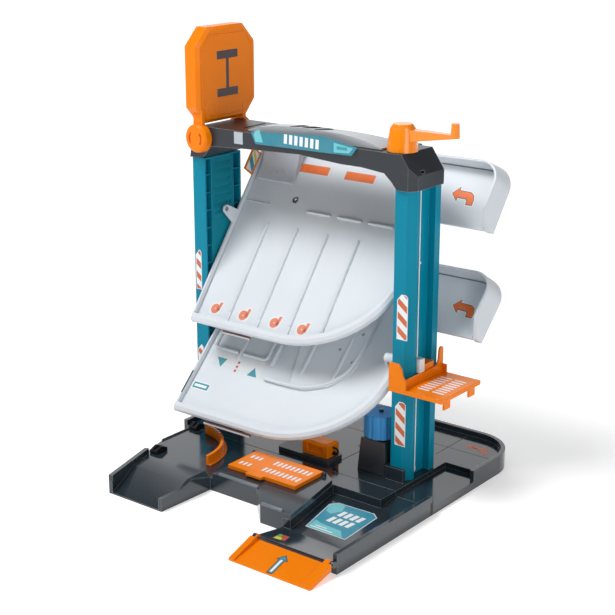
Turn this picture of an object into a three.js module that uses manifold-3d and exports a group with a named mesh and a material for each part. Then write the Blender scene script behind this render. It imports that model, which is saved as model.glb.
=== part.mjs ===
// Toy parking garage with a hand-cranked lift, two tilting decks and a folding landing pad.
// Millimetres. X runs to the right, Y to the back and Z up.
// The origin lies on the floor, under the middle of the whole toy.
import * as THREE from 'three';
import { mergeVertices } from 'three/addons/utils/BufferGeometryUtils.js';
import Module from 'manifold-3d';

const wasm = await Module();
wasm.setup();

// Fits and steps
const fit = 0.3;
const pinFit = 0.4;
const overrun = 1;
const cornerSteps = 3;
const roundSteps = 10;
const bigArcSteps = 7;

// Base, two trays that meet at a seam
const baseWidth = 426;
const rearBaseDepth = 223.5;
const frontBaseDepth = 199.5;
const seamBehindOrigin = 13;
const seamWidth = 1;
const floorTop = 18;
const floorPlate = 3;
const curbHeight = 8;
const curbWidth = 6;
const skirtWall = 3.5;
const rearCornerRadius = 60;
const underRibThickness = 2;
const underRibPitch = 52;
const underRibLift = 3;
const baseRight = baseWidth / 2;
const baseLeft = -baseRight;
const rearBaseFront = seamBehindOrigin + seamWidth / 2;
const rearBaseBack = rearBaseFront + rearBaseDepth;
const frontBaseBack = seamBehindOrigin - seamWidth / 2;
const frontBaseFront = frontBaseBack - frontBaseDepth;
const curbTop = floorTop + curbHeight;
const floorUnder = floorTop - floorPlate;

// Front tray outline
const leftStepIn = 16;
const leftEdgeStraight = 62.5;
const entryReach = 4;
const entryFrontWidth = 94;
const entryFromLeftEdge = 39;
const entryRightFlare = 4;
const blockFrontRecess = 85;
const shoulderFlat = 36;
const shoulderLength = 50;
const laneWidth = 122;
const shoulderSlant = 35;
const entryWallLength = 98;
const entryWallWidth = 6;
const entryRightWallWidth = 5;
const entrySlopeRun = 56;
const entryTipHeight = 2;
const entryWallTipHeight = 5;
const lowRimHeight = 2;
const lowRimWidth = 1.5;
const frontLeft = baseLeft + leftStepIn;
const entryFront = frontBaseFront - entryReach;
const entryLeft = frontLeft + entryFromLeftEdge;
const entryRight = entryLeft + entryFrontWidth;
const leftBreakY = frontBaseBack - leftEdgeStraight;
const blockFront = frontBaseFront + blockFrontRecess;
const shoulderBack = frontBaseFront + shoulderLength;
const laneLeft = baseRight - laneWidth;
const blockCornerX = laneLeft - shoulderFlat - shoulderSlant;

// Raised block and sunk lane of the front tray
const blockHeight = 7;
const blockLeftFromEntry = 9;
const blockBackFromSeam = 21.5;
const blockBackCut = 19;
const blockCutRun = 13;
const laneMouthFloor = 14;
const laneFloor = 6;
const laneSlopeRun = 45;
const laneInnerOffset = 13;
const laneInnerLean = 23;
const laneEndFromSeam = 32.5;
const blockTop = floorTop + blockHeight;
const laneInnerFront = laneLeft + laneInnerOffset;
const laneInnerBack = laneInnerFront - laneInnerLean;
const laneEnd = frontBaseBack - laneEndFromSeam;

// Columns
const columnTop = 405;
const columnFront = 43;
const columnWall = 2.5;
const columnEndPlate = 2.5;
const columnInset = 2;
const leftColumnWidth = 22;
const leftColumnDepth = 75;
const rightColumnWidth = 26.5;
const rightColumnDepth = 63;
const liftStripWidth = 59;
const columnBevelX = 9;
const columnBevelY = 10;
const channelFromFront = 16;
const channelWidth = 35;
const channelDepth = 10;
const tenonLength = 10;
const topTenonLength = 13;
const tenonSideInset = 4;
const tenonEndInset = 6;
const collarWall = 4.7;
const collarHeight = 18;
const collarReach = 24;
const collarSideReach = 18;
const columnFoot = floorTop + fit;
const leftColumnLeft = baseLeft + columnInset;
const leftColumnRight = leftColumnLeft + leftColumnWidth;
const leftColumnBack = columnFront + leftColumnDepth;
const rightColumnRight = baseRight - liftStripWidth;
const rightColumnLeft = rightColumnRight - rightColumnWidth;
const rightColumnBack = columnFront + rightColumnDepth;
const channelFront = columnFront + channelFromFront;
const channelBack = channelFront + channelWidth;
const channelFloor = rightColumnRight - channelDepth;

// Ribs and louvred panel of the left column
const panelFromFront = 14;
const panelWidth = 44;
const panelWall = 1.5;
const panelThickness = 4.5;
const panelRecess = 0.5;
const crossRibPitch = 25;
const crossRibThickness = 1.5;
const crossRibRecess = 2;
const louvreCount = 7;
const louvrePitch = 11.6;
const louvreDepth = 3;
const louvreHeight = 8.5;
const louvreMargin = 5;
const louvreTopGap = 6;
const panelFront = columnFront + panelFromFront;
const panelBack = panelFront + panelWidth;

// Lift bay sunk in the rear tray
const bayFloor = 11;
const bayGap = 3;
const bayDepth = 117.5;
const bayExitMargin = 1;
const bayLeft = rightColumnRight + bayGap;
const bayBack = rearBaseFront + bayDepth;
const bayRight = baseRight - curbWidth;

// Screws that hold the columns from below
const screwRadius = 1.5;
const screwHeadRadius = 3;
const screwHeadHeight = 2;
const screwInsetShare = 0.22;
const socketFloor = floorTop - tenonLength;

// Top beam
const beamHeight = 45;
const beamFrontLap = 3;
const beamDepth = 78;
const beamRightLap = 1.5;
const beamChamferRun = 18.5;
const beamChamferDrop = 26.5;
const beamCornerX = 8;
const beamCornerY = 10;
const beamBlockWidth = 24.5;
const beamBlockSetback = 9;
const beamBlockReach = 40;
const beamUndersideShares = [
  [0, 0.04], [0.05, 0.42], [0.21, 0.49], [0.52, 0.58], [0.63, 0.53],
  [0.73, 0.49], [0.83, 0.49], [0.94, 0.42], [0.975, 0.2], [1, 0],
];
const beamFront = columnFront - beamFrontLap;
const beamBack = beamFront + beamDepth;
const beamTop = columnTop + beamHeight;
const beamRight = rightColumnRight + beamRightLap;

// Arched cover and front plate on the beam
const roofSpanShare = 0.786;
const roofCrankGap = 2;
const roofRise = 14;
const roofBackRise = 8;
const roofDepth = 48;
const roofFrontSetback = 9;
const roofShell = 2.5;
const roofEdge = 2;
const signThickness = 2.7;
const signStartShare = 0.065;
const signWidthShare = 0.8;
const signLow = 13;
const signHigh = 10;
const signOutlineShares = [
  [0, 0.66], [0.046, 0], [0.67, 0.09], [0.95, 0.14], [1, 0.61], [0.68, 1],
];

// Landing pad on a hinge at the left end of the beam
const padThickness = 22.3;
const padBackFromAxis = 15;
const padBottomFromAxis = 19;
const padHeight = 128;
const padWidth = 121;
const padFront = 28;
const padLowCutX = 20;
const padLowCutZ = 22;
const padTopCut = 24;
const padBevel = 4.6;
const padWall = 3;
const padAxisFromLeft = 21;
const padAxisBelowTop = 16;
const hingeDiscRadius = 20.2;
const hingeDiscFaceRadius = 16;
const hingeDiscRim = 7;
const frontDiscThickness = 11.7;
const rearDiscThickness = 6.7;
const neckThickness = 5.7;
const neckWidth = 16;
const neckBackFromAxis = 8;
const neckRise = 20;
const padPinRadius = 4;
const padPinEnd = 3;
const discSlotInner = 9;
const discSlotOuter = 12;
const discSlotDepth = 2;
const discSlotDegrees = 86;
const letterBarLength = 43;
const letterBarHeight = 11;
const letterHeight = 62;
const letterWebWidth = 6;
const letterRecess = 1.5;
const padAxisX = baseLeft + padAxisFromLeft;
const padAxisZ = beamTop - padAxisBelowTop;
const padBackX = padAxisX - padBackFromAxis;
const padFaceX = padBackX + padThickness;
const padLow = padAxisZ + padBottomFromAxis;
const padTop = padLow + padHeight;
const padBack = padFront + padWidth;

// Crank and winding drum
const crankFromColumn = 31;
const crankFromFront = 20;
const crankHubRadius = 20;
const crankHubTopRadius = 16.5;
const crankCapRadius = 12.5;
const crankHubHeight = 28;
const crankCapHeight = 6;
const crankArmReach = 80;
const crankArmRootHeight = 17;
const crankArmTipHeight = 4;
const crankArmTop = 28;
const crankArmRootWidth = 17;
const crankArmTipWidth = 9;
const crankKnobRadius = 6;
const crankKnobHeight = 18;
const crankKnobBackset = 4;
const crankShaftRadius = 5;
const drumFlangeRadius = 13.5;
const drumHeight = 18;
const drumFlange = 1.5;
const drumCordRadius = 12;
const drumRoomRadius = 14.5;
const beamSkin = 3;
const crankX = rightColumnRight - crankFromColumn;
const crankY = columnFront + crankFromFront;
const crankLow = beamTop + fit;
const roofRight = crankX - crankHubRadius - roofCrankGap;
const roofLength = (crankX - crankHubRadius - padAxisX - hingeDiscRadius) * roofSpanShare;
const drumRoomTop = beamTop - beamSkin;
const drumRoomLow = drumRoomTop - drumHeight - 2 * fit;

// Lift cord and its lower pulley
const cordRadius = 0.8;
const cordSides = 8;
const cordBehindFront = 21.5;
const cordFromFace = 3;
const pulleyRadius = 8;
const pulleyFlange = 0.8;
const pulleyWidth = 3.6;
const pulleyHeight = 12.2;
const pulleyPinRadius = 1.5;
const pulleySlotWidth = 5;
const pulleyLug = 4;
const pulleyLugSize = 8;
const knotRadius = 2.4;
const knotHeight = 311;
const cordY = columnFront + cordBehindFront;
const cordX = rightColumnRight - cordFromFace;
const pulleyX = cordX - pulleyRadius;
const innerCordX = pulleyX - pulleyRadius;
const pulleyZ = columnFoot + pulleyHeight;
const cordPassage = 4;
const cordToDrum = [
  [-1, -0.5, 8],
  [-4, -2.7, 14],
  [-9, -6.3, 20],
  [-16, -10.5, 25],
];
const cordFromDrum = [
  [6, 10.5, -1],
  [14, 6.5, -4.5],
  [15.6, 3, -8],
  [14.6, 0.5, -13],
];
const cordDropBelowDrum = 20;

// Lift platform
const liftFloorTop = 155;
const liftFloorPlate = 2.5;
const liftLip = 5.5;
const liftWall = 2.5;
const liftFromColumn = 4;
const liftWidth = 60;
const liftFront = 20;
const liftDepth = 92;
const liftBackWallHeight = 11;
const frontPlateHeight = 33;
const frontPlateReach = 20;
const frontPlateLap = 6;
const frontPlateThickness = 3;
const frontLedgeDepth = 16;
const hornHeight = 35;
const hornWidth = 9;
const hornReach = 9;
const liftSlotRows = 2;
const liftSlotCount = 8;
const liftSlotWidth = 4;
const liftSlotLength = 17;
const liftSlotPitch = 7.5;
const liftSlotRowGap = 5;
const hookWidth = 14;
const hookDrop = 17;
const hookInset = 10;
const hookClear = 0.5;
const liftLeft = rightColumnRight + liftFromColumn;
const liftRight = liftLeft + liftWidth;
const liftBack = liftFront + liftDepth;
const liftLow = liftFloorTop - liftLip;
const runnerHeight = 25;
const runnerGapBehindLug = 0.6;
const runnerChannelGap = 1;
const clipLow = 11;
const clipHeight = 18;
const clipPlate = 5;
const clipProng = 2;
const clipProngReach = 6;

// Decks, measured from the front edge of the floor and along it
const deckSideGap = 2.5;
const deckRightGap = 4.5;
const deckWall = 3;
const deckRim = 12;
const deckRimHeight = 7;
const deckRimDrop = 8;
const deckFloorPlate = 4;
const deckLength = 279;
const deckCurveWidth = 148;
const deckCurveLength = 120;
const wingStart = 196;
const wingReach = 92;
const wingWallHeight = 22;
const wingWallFoot = 10;
const wingCornerRadius = 25;
const leftWallEndGap = 29;
const rimProfileShares = [[0, 0.4], [0.2, 0.8], [0.53, 1], [0.8, 0.88], [1, 0.5]];
const ridgeWidth = 4;
const ridgeHeight = 1.4;
const earRadius = 6;
const earFoot = 12;
const deckPinRadius = 3;
const deckPinBoss = 5.5;
const deckPinDepth = 8;
const deckLeft = leftColumnRight + deckSideGap + deckWall;
const deckRight = rightColumnLeft - deckRightGap - deckRim;
const wingRight = deckRight + wingReach;

// Upper deck
const upperPivotY = 81;
const upperPivotZ = 328;
const upperPivotAlong = 150.2;
const upperPivotAbove = 29.1;
const upperTiltDegrees = 53.3;
const bayPitch = 52;
const upperRidgeFromLeft = 53;
const upperRidgeEndGap = 46;
const upperRidgeCount = 4;
const dashBeforeWing = 20;
const dashFromLeft = 112;
const dashLength = 40;
const dashPitch = 52;
const dashDepth = 2.6;
const dashCount = 3;
const deckHoleRadius = 5;
const upperHoleFromLeft = 84;
const upperHoleAlong = 192;

// Curved ramp and sign board on the upper deck
const rampFromLeft = 7;
const rampWidth = 63;
const rampBackGap = 3;
const rampLength = 62;
const rampStep = 4;
const rampRise = 20;
const rampRibCount = 3;
const rampRibPitch = 9;
const rampRibLength = 14;
const rampRibWidth = 2;
const boardBehindRamp = 1;
const boardLength = 35;
const boardHeight = 20;
const boardThickness = 2.4;
const boardFrame = 2;
const boardPanelRecess = 0.8;

// Lower deck
const lowerPivotY = 53;
const lowerPivotZ = 180;
const lowerPivotAlong = 133.5;
const lowerPivotAbove = 23.6;
const lowerTiltDegrees = 45;
const plateauHeight = 3;
const plateauFromLeft = 114;
const plateauAlong = 65;
const plateauWidthShares = [0, 0.36, 0.54, 0.81, 1, 1];
const plateauDepthShares = [0, 0, 0.01, 0.08, 0.23, 0.4];
const plateauWidth = 130;
const plateauBackGap = 9;
const plateauRound = 40;
const lowerRidgeAlong = 88;
const lowerRidgeLength = 110;
const lowerRidgeCount = 3;
const lowerHoleShares = [[0.72, 0.35], [0.93, 0.28], [0.9, 0.49]];

// Front ramp
const rampAxisForward = 4.5;
const rampAxisHeight = 14.5;
const frontRampLength = 46;
const rampPlate = 3;
const rampTipHeight = 1.5;
const rampFloorDrop = 2.5;
const rampSideLeft = 8;
const rampSideRight = 12;
const rampBarrel = 4;
const rampTipCheek = 2;
const lugWidth = 5;
const rampPinRadius = 1.5;
const rampSideGrow = 1;
const rampAxisY = frontBaseFront - rampAxisForward;

// Curved guard on the floor
const guardRadius = 84;
const guardThickness = 4;
const guardHeight = 14;
const guardFoot = 4;
const guardFootHeight = 2;
const guardArcDegrees = 85;
const guardFromEntry = 107;
const guardCentreForward = 87.5;
const guardX = entryRight - guardFromEntry;
const guardRight = guardX + guardRadius + guardFoot;

// Slotted lever plate on the raised block
const plateWidthShare = 0.774;
const plateDepth = 58;
const plateBeforeLane = 18;
const plateBackFromSeam = 31.5;
const plateLift = 2;
const plateThickness = 3.5;
const plateSkirt = 2;
const plateSlotWidthShare = 0.035;
const plateSlotLength = 12;
const plateSlotPitchShare = 0.062;
const plateSlotCount = 9;
const plateShortCount = 3;
const plateShortLength = 9;
const plateRowGap = 12;
const plateTabWidthShare = 0.24;
const plateTabReach = 7;
const plateTabFromLeftShare = 0.31;
const platePinRadius = 1.2;
const plateBarrel = 2.8;
const plateLugWidth = 4;
const plateRight = laneInnerBack - plateBeforeLane;
const plateWidth = (plateRight - guardRight) * plateWidthShare;
const plateLeft = plateRight - plateWidth;
const plateSlotWidth = plateWidth * plateSlotWidthShare;
const plateSlotPitch = plateWidth * plateSlotPitchShare;
const plateBack = frontBaseBack - plateBackFromSeam;
const plateFront = plateBack - plateDepth;
const plateAxisZ = blockTop + plateBarrel + fit;

// Fuel pump
const plinthWidth = 88;
const plinthDepth = 34;
const plinthHeight = 5.7;
const plinthGapToWash = 36.3;
const plinthBehindSeam = 10.5;
const plinthCorner = 5;
const pumpWidth = 42;
const pumpDepth = 26;
const pumpHeight = 20;
const pumpTaper = 3;
const pumpFromLeft = 41;
const pumpWindowWidth = 26;
const pumpWindowHeight = 9;
const pumpWindowDepth = 1.5;
const hoseRadius = 1.5;
const hoseDrop = 8;
const nozzleSize = 4;

// Car wash with its turning roller
const washWidth = 44;
const washDepth = 44;
const washHeight = 45;
const washTaper = 3;
const washGapToCollar = 3;
const washFromColumnFront = 2;
const rollerRadius = 23;
const rollerLength = 32;
const rollerFluteCount = 12;
const rollerFluteDepth = 1.6;
const spindleRadius = 3;
const spindleFlange = 6;
const spindleFlangeHeight = 2;
const spindleTop = 4;
const washNozzleLength = 12;
const washNozzleRadius = 2;

// Latches on the left edge of the base
const trayLatchWidth = 12;
const trayLatchLength = 22;
const trayLatchHeight = 9;
const trayLatchBehindWall = 3;
const seamLatchWidth = 13;
const seamLatchLength = 18;
const seamLatchHeight = 9;
const latchSlot = 4;

// Colours
const teal = { color: 0x0a93b5, roughness: 0.35, metalness: 0 };
const orange = { color: 0xf77f00, roughness: 0.35, metalness: 0 };
const charcoal = { color: 0x3c464e, roughness: 0.4, metalness: 0 };
const deckGrey = { color: 0xd9dce0, roughness: 0.4, metalness: 0 };
const midGrey = { color: 0x9a9ea2, roughness: 0.45, metalness: 0 };
const black = { color: 0x17191c, roughness: 0.4, metalness: 0 };
const blue = { color: 0x3b95d9, roughness: 0.5, metalness: 0 };
const white = { color: 0xf4f4f2, roughness: 0.5, metalness: 0 };
const steel = { color: 0xb8bcc0, roughness: 0.3, metalness: 1 };

const axisX = new THREE.Vector3(1, 0, 0);
const axisY = new THREE.Vector3(0, 1, 0);
const axisZ = new THREE.Vector3(0, 0, 1);
const extrudedToX = new THREE.Matrix4().makeBasis(axisY, axisZ, axisX);
const extrudedToY = new THREE.Matrix4().makeBasis(axisX, axisZ, axisY.clone().negate());

// Closed meshes to solids and back
function toSolid(geometry) {
  const bare = geometry.clone();
  bare.deleteAttribute('normal');
  bare.deleteAttribute('uv');
  const merged = mergeVertices(bare);
  const places = merged.attributes.position;
  const a = new THREE.Vector3();
  const b = new THREE.Vector3();
  const c = new THREE.Vector3();
  const faces = [];
  let volume = 0;
  for (let i = 0; i < merged.index.count; i += 3) {
    const [p, q, r] = [0, 1, 2].map((step) => merged.index.getX(i + step));
    if (p !== q && q !== r && r !== p) {
      faces.push([p, q, r]);
      a.fromBufferAttribute(places, p);
      b.fromBufferAttribute(places, q);
      c.fromBufferAttribute(places, r);
      volume += a.dot(b.cross(c));
    }
  }
  const outward = volume < 0 ? faces.map(([p, q, r]) => [p, r, q]) : faces;
  return new wasm.Manifold(new wasm.Mesh({
    numProp: 3,
    vertProperties: new Float32Array(places.array),
    triVerts: new Uint32Array(outward.flat()),
  }));
}

function toGeometry(solid) {
  const mesh = solid.getMesh();
  const geometry = new THREE.BufferGeometry();
  geometry.setAttribute('position', new THREE.BufferAttribute(mesh.vertProperties, 3));
  geometry.setIndex(new THREE.BufferAttribute(mesh.triVerts, 1));
  geometry.computeVertexNormals();
  return geometry;
}

function joined(solids) {
  return solids.reduce((sum, solid) => sum.add(solid));
}

function without(solid, cutters) {
  return cutters.reduce((left, cutter) => left.subtract(cutter), solid);
}

// Outlines, each corner given as x, y and an optional rounding radius
function outline(corners) {
  const shape = new THREE.Shape();
  const count = corners.length;
  corners.forEach(([x, y, radius = 0], i) => {
    const corner = new THREE.Vector2(x, y);
    const toBefore = new THREE.Vector2(...corners[(i + count - 1) % count]).sub(corner);
    const toAfter = new THREE.Vector2(...corners[(i + 1) % count]).sub(corner);
    if (radius <= 0) {
      if (i === 0) shape.moveTo(x, y);
      else shape.lineTo(x, y);
      return;
    }
    const half = toBefore.angleTo(toAfter) / 2;
    const room = Math.min(toBefore.length(), toAfter.length()) / 2;
    const reach = Math.min(radius / Math.tan(half), room);
    const round = reach * Math.tan(half);
    const turn = toAfter.cross(toBefore);
    const start = corner.clone().addScaledVector(toBefore.normalize(), reach);
    const end = corner.clone().addScaledVector(toAfter.normalize(), reach);
    const inward = toBefore.add(toAfter).normalize();
    const centre = corner.clone().addScaledVector(inward, round / Math.sin(half));
    const from = start.sub(centre).angle();
    const to = end.sub(centre).angle();
    shape.absarc(centre.x, centre.y, round, from, to, turn < 0);
  });
  return shape;
}

// Moves every edge of a counter-clockwise outline inwards
function inset(corners, distance) {
  const count = corners.length;
  return corners.map(([x, y, radius = 0], i) => {
    const corner = new THREE.Vector2(x, y);
    const before = new THREE.Vector2(...corners[(i + count - 1) % count]);
    const after = new THREE.Vector2(...corners[(i + 1) % count]);
    const along = corner.clone().sub(before).normalize();
    const onward = after.sub(corner).normalize();
    const normal = new THREE.Vector2(-along.y, along.x);
    const nextNormal = new THREE.Vector2(-onward.y, onward.x);
    const shift = normal.clone().add(nextNormal);
    shift.multiplyScalar(distance / (1 + normal.dot(nextNormal)));
    const turnsLeft = along.cross(onward) > 0;
    const rounded = radius > 0 ? Math.max(radius + (turnsLeft ? -distance : distance), 0) : 0;
    return [x + shift.x, y + shift.y, rounded];
  });
}

function disc(u, v, radius) {
  const shape = new THREE.Shape();
  shape.absarc(u, v, radius, 0, 2 * Math.PI);
  return shape;
}

function ringSector(u, v, inner, outer, from, to) {
  const shape = new THREE.Shape();
  shape.absarc(u, v, outer, from, to);
  shape.absarc(u, v, inner, to, from, true);
  return shape;
}

function rectangle(left, right, low, high, radius = 0) {
  return outline([[left, low, radius], [right, low, radius], [right, high, radius], [left, high, radius]]);
}

// Straight extrusions along each axis
function extruded(shape, length, steps) {
  return new THREE.ExtrudeGeometry(shape, { depth: length, bevelEnabled: false, curveSegments: steps });
}

function alongZ(shape, low, high, steps = cornerSteps) {
  return toSolid(extruded(shape, high - low, steps).translate(0, 0, low));
}

function alongX(shape, low, high, steps = cornerSteps) {
  return toSolid(extruded(shape, high - low, steps).applyMatrix4(extrudedToX).translate(low, 0, 0));
}

function alongY(shape, low, high, steps = cornerSteps) {
  return toSolid(extruded(shape, high - low, steps).applyMatrix4(extrudedToY).translate(0, high, 0));
}

function box(left, right, front, back, low, high) {
  return alongZ(rectangle(left, right, front, back), low, high);
}

function barX(y, z, radius, low, high, steps = roundSteps) {
  return alongX(disc(y, z, radius), low, high, steps);
}

function barY(x, z, radius, low, high, steps = roundSteps) {
  return alongY(disc(x, z, radius), low, high, steps);
}

function barZ(x, y, radius, low, high, steps = roundSteps) {
  return alongZ(disc(x, y, radius), low, high, steps);
}

// Skin through outlines with the same number of points, one at each height
function loft(levels) {
  const rings = levels.map(({ points }) => points);
  const count = rings[0].length;
  const places = levels.flatMap(({ points, height }) => points.flatMap(({ x, y }) => [x, y, height]));
  const faces = [];
  for (let level = 0; level < levels.length - 1; level += 1) {
    for (let i = 0; i < count; i += 1) {
      const a = level * count + i;
      const b = level * count + ((i + 1) % count);
      faces.push(a, b, b + count, a, b + count, a + count);
    }
  }
  const last = (levels.length - 1) * count;
  THREE.ShapeUtils.triangulateShape(rings[0], []).forEach(([a, b, c]) => faces.push(c, b, a));
  const lastCap = THREE.ShapeUtils.triangulateShape(rings.at(-1), []);
  lastCap.forEach(([a, b, c]) => faces.push(last + a, last + b, last + c));
  const geometry = new THREE.BufferGeometry();
  geometry.setAttribute('position', new THREE.Float32BufferAttribute(places, 3));
  geometry.setIndex(faces);
  return geometry;
}

function coneZ(x, y, levels) {
  const ring = (radius) => disc(x, y, radius).getPoints(roundSteps).slice(0, -1);
  const rings = levels.map(([height, radius]) => ({ points: ring(radius), height }));
  return toSolid(loft(rings));
}

// Solid of revolution about Z, its profile given as radius and height and closed on itself
function turned(profile, x, y, low) {
  const points = [...profile, profile[0]].map(([radius, height]) => new THREE.Vector2(radius, height));
  const geometry = new THREE.LatheGeometry(points, 2 * roundSteps).rotateX(Math.PI / 2);
  return toSolid(geometry).translate([x, y, low]);
}

// A tube whose rings stand exactly at the points of its route
class Route extends THREE.Curve {
  constructor(points) {
    super();
    this.points = points.map(([x, y, z]) => new THREE.Vector3(x, y, z));
  }

  getPoint(share, target = new THREE.Vector3()) {
    const last = this.points.length - 1;
    const place = Math.min(Math.max(share, 0), 1) * last;
    const before = Math.min(Math.floor(place), last - 1);
    return target.copy(this.points[before]).lerp(this.points[before + 1], place - before);
  }

  getUtoTmapping(share) {
    return share;
  }
}

function tube(points, radius, sides) {
  const section = new THREE.Shape(Array.from({ length: sides }, (_, i) => {
    const turn = (2 * Math.PI * i) / sides;
    return new THREE.Vector2(radius * Math.cos(turn), radius * Math.sin(turn));
  }));
  const settings = { steps: points.length - 1, bevelEnabled: false, extrudePath: new Route(points) };
  return toSolid(new THREE.ExtrudeGeometry(section, settings));
}

const model = new THREE.Group();

function place(name, solid, finish, parent = model) {
  const mesh = new THREE.Mesh(toGeometry(solid), new THREE.MeshStandardMaterial(finish));
  mesh.name = name;
  parent.add(mesh);
}

// Rear tray with the lift bay, the column sockets and the ribs below
function rearCorners(sideInset, frontInset) {
  const side = baseRight - sideInset;
  const back = rearBaseBack - sideInset;
  const radius = rearCornerRadius - sideInset;
  const front = rearBaseFront + frontInset;
  return [[-side, front], [side, front], [side, back, radius], [-side, back, radius]];
}

function underRibs(corners, left, right, front, back) {
  const ribs = [];
  for (let x = left + underRibPitch; x < right; x += underRibPitch) {
    ribs.push(box(x, x + underRibThickness, front, back, underRibLift, floorUnder + overrun));
  }
  for (let y = front + underRibPitch; y < back; y += underRibPitch) {
    ribs.push(box(left, right, y, y + underRibThickness, underRibLift, floorUnder + overrun));
  }
  return joined(ribs).intersect(alongZ(outline(corners), underRibLift, floorUnder + overrun, bigArcSteps));
}

function screwPlaces(left, right, front, back) {
  const middle = (left + right) / 2;
  const inside = (back - front) * screwInsetShare;
  return [[middle, front + inside], [middle, back - inside]];
}

function tenonBox(left, right, front, back, low, high, grow) {
  return box(left - grow, right + grow, front - grow, back + grow, low, high);
}

const leftTenon = [
  leftColumnLeft + tenonSideInset,
  leftColumnRight - tenonSideInset,
  columnFront + tenonEndInset,
  rightColumnBack - tenonEndInset,
];
const rightTenon = [
  rightColumnLeft + columnWall + fit,
  channelFloor - columnWall,
  cordY + cordPassage + tenonEndInset / 2,
  rightColumnBack - tenonEndInset,
];
const screwSpots = [...screwPlaces(...leftTenon), ...screwPlaces(...rightTenon)];

function columnSockets(solid) {
  const blockHigh = floorUnder + overrun;
  const blocks = [leftTenon, rightTenon].map((tenon) => (
    tenonBox(...tenon, underRibLift, blockHigh, skirtWall)));
  const holes = [leftTenon, rightTenon].map((tenon) => (
    tenonBox(...tenon, socketFloor, curbTop + overrun, fit)));
  const shanks = screwSpots.map(([x, y]) => barZ(x, y, screwRadius + fit, -overrun, socketFloor + overrun));
  const heads = screwSpots.map(([x, y]) => (
    barZ(x, y, screwHeadRadius + fit, -overrun, underRibLift + screwHeadHeight + fit)));
  return without(joined([solid, ...blocks]), [...holes, ...shanks, ...heads]);
}

function columnCollar() {
  const left = rightColumnLeft - fit - collarWall;
  const front = columnFront - fit - collarWall;
  const outer = box(left, left + collarReach + collarWall, front, columnFront + collarSideReach,
    floorTop - overrun, floorTop + collarHeight);
  return outer.subtract(box(rightColumnLeft - fit, rightColumnRight, columnFront - fit,
    rightColumnBack, floorTop - 2 * overrun, floorTop + collarHeight + overrun));
}

function rearBase() {
  const body = alongZ(outline(rearCorners(0, 0)), 0, curbTop, bigArcSteps);
  const inside = alongZ(outline(rearCorners(curbWidth, -overrun)), floorTop, curbTop + overrun, bigArcSteps);
  const under = alongZ(outline(rearCorners(skirtWall, skirtWall)), -overrun, floorUnder, bigArcSteps);
  const ribs = underRibs(rearCorners(skirtWall / 2, skirtWall / 2), baseLeft, baseRight, rearBaseFront,
    rearBaseBack);
  const bayBlock = box(bayLeft - skirtWall, baseRight - skirtWall / 2, rearBaseFront, bayBack + skirtWall,
    bayFloor - floorPlate, floorUnder + overrun);
  const bay = box(bayLeft, bayRight, rearBaseFront - overrun, bayBack, bayFloor, curbTop + overrun);
  const exit = box(bayRight - overrun, baseRight + overrun, rearBaseFront - overrun,
    liftBack + bayExitMargin, bayFloor, curbTop + overrun);
  const columnGap = box(baseLeft - overrun, leftColumnRight + columnInset, columnFront - columnInset,
    leftColumnBack + columnInset, floorTop, curbTop + overrun);
  const tray = without(body, [inside, under]).add(ribs).add(bayBlock);
  const open = without(tray.add(columnCollar()), [bay, exit, columnGap]);
  return columnSockets(open);
}

// Front tray with its entry slope, raised block and sunk lane
const frontCorners = [
  [baseRight, frontBaseFront],
  [baseRight, frontBaseBack],
  [frontLeft, frontBaseBack],
  [frontLeft, leftBreakY],
  [entryLeft, entryFront],
  [entryRight, entryFront],
  [entryRight + entryRightFlare, blockFront],
  [blockCornerX, blockFront],
  [blockCornerX + shoulderSlant, shoulderBack],
  [laneLeft, shoulderBack],
  [laneLeft, frontBaseFront],
];
const leftEdge = new THREE.Vector2(frontLeft - entryLeft, leftBreakY - entryFront).normalize();
const leftInward = new THREE.Vector2(leftEdge.y, -leftEdge.x);

function leftEdgePoint(along, inward) {
  return [
    entryLeft + leftEdge.x * along + leftInward.x * inward,
    entryFront + leftEdge.y * along + leftInward.y * inward,
  ];
}

function blockCorners() {
  const left = entryRight + blockLeftFromEntry;
  const back = frontBaseBack - blockBackFromSeam;
  return [
    [left, blockFront],
    [blockCornerX, blockFront],
    [blockCornerX + shoulderSlant, shoulderBack],
    [laneInnerFront, shoulderBack],
    [laneInnerBack, back - blockCutRun],
    [laneInnerBack - blockBackCut, back],
    [left, back],
  ];
}

function laneCutter() {
  const high = curbTop + overrun;
  const slopeEnd = frontBaseFront + laneSlopeRun;
  const profile = outline([
    [frontBaseFront - overrun, laneMouthFloor],
    [frontBaseFront, laneMouthFloor],
    [slopeEnd, laneFloor],
    [laneEnd, laneFloor],
    [laneEnd, high],
    [frontBaseFront - overrun, high],
  ]);
  const region = outline([
    [laneLeft - overrun, frontBaseFront - overrun],
    [bayRight, frontBaseFront - overrun],
    [bayRight, laneEnd + overrun],
    [laneInnerBack, laneEnd + overrun],
    [laneInnerFront, shoulderBack],
    [laneLeft - overrun, shoulderBack - overrun],
  ]);
  return alongX(profile, laneInnerBack - overrun, bayRight + overrun).intersect(alongZ(region, 0, high));
}

function laneExitCutter() {
  const high = curbTop + overrun;
  const profile = outline([
    [laneEnd - overrun, laneFloor],
    [laneEnd, laneFloor],
    [frontBaseBack, bayFloor],
    [frontBaseBack + overrun, bayFloor],
    [frontBaseBack + overrun, high],
    [laneEnd - overrun, high],
  ]);
  return alongX(profile, bayLeft, bayRight);
}

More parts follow.
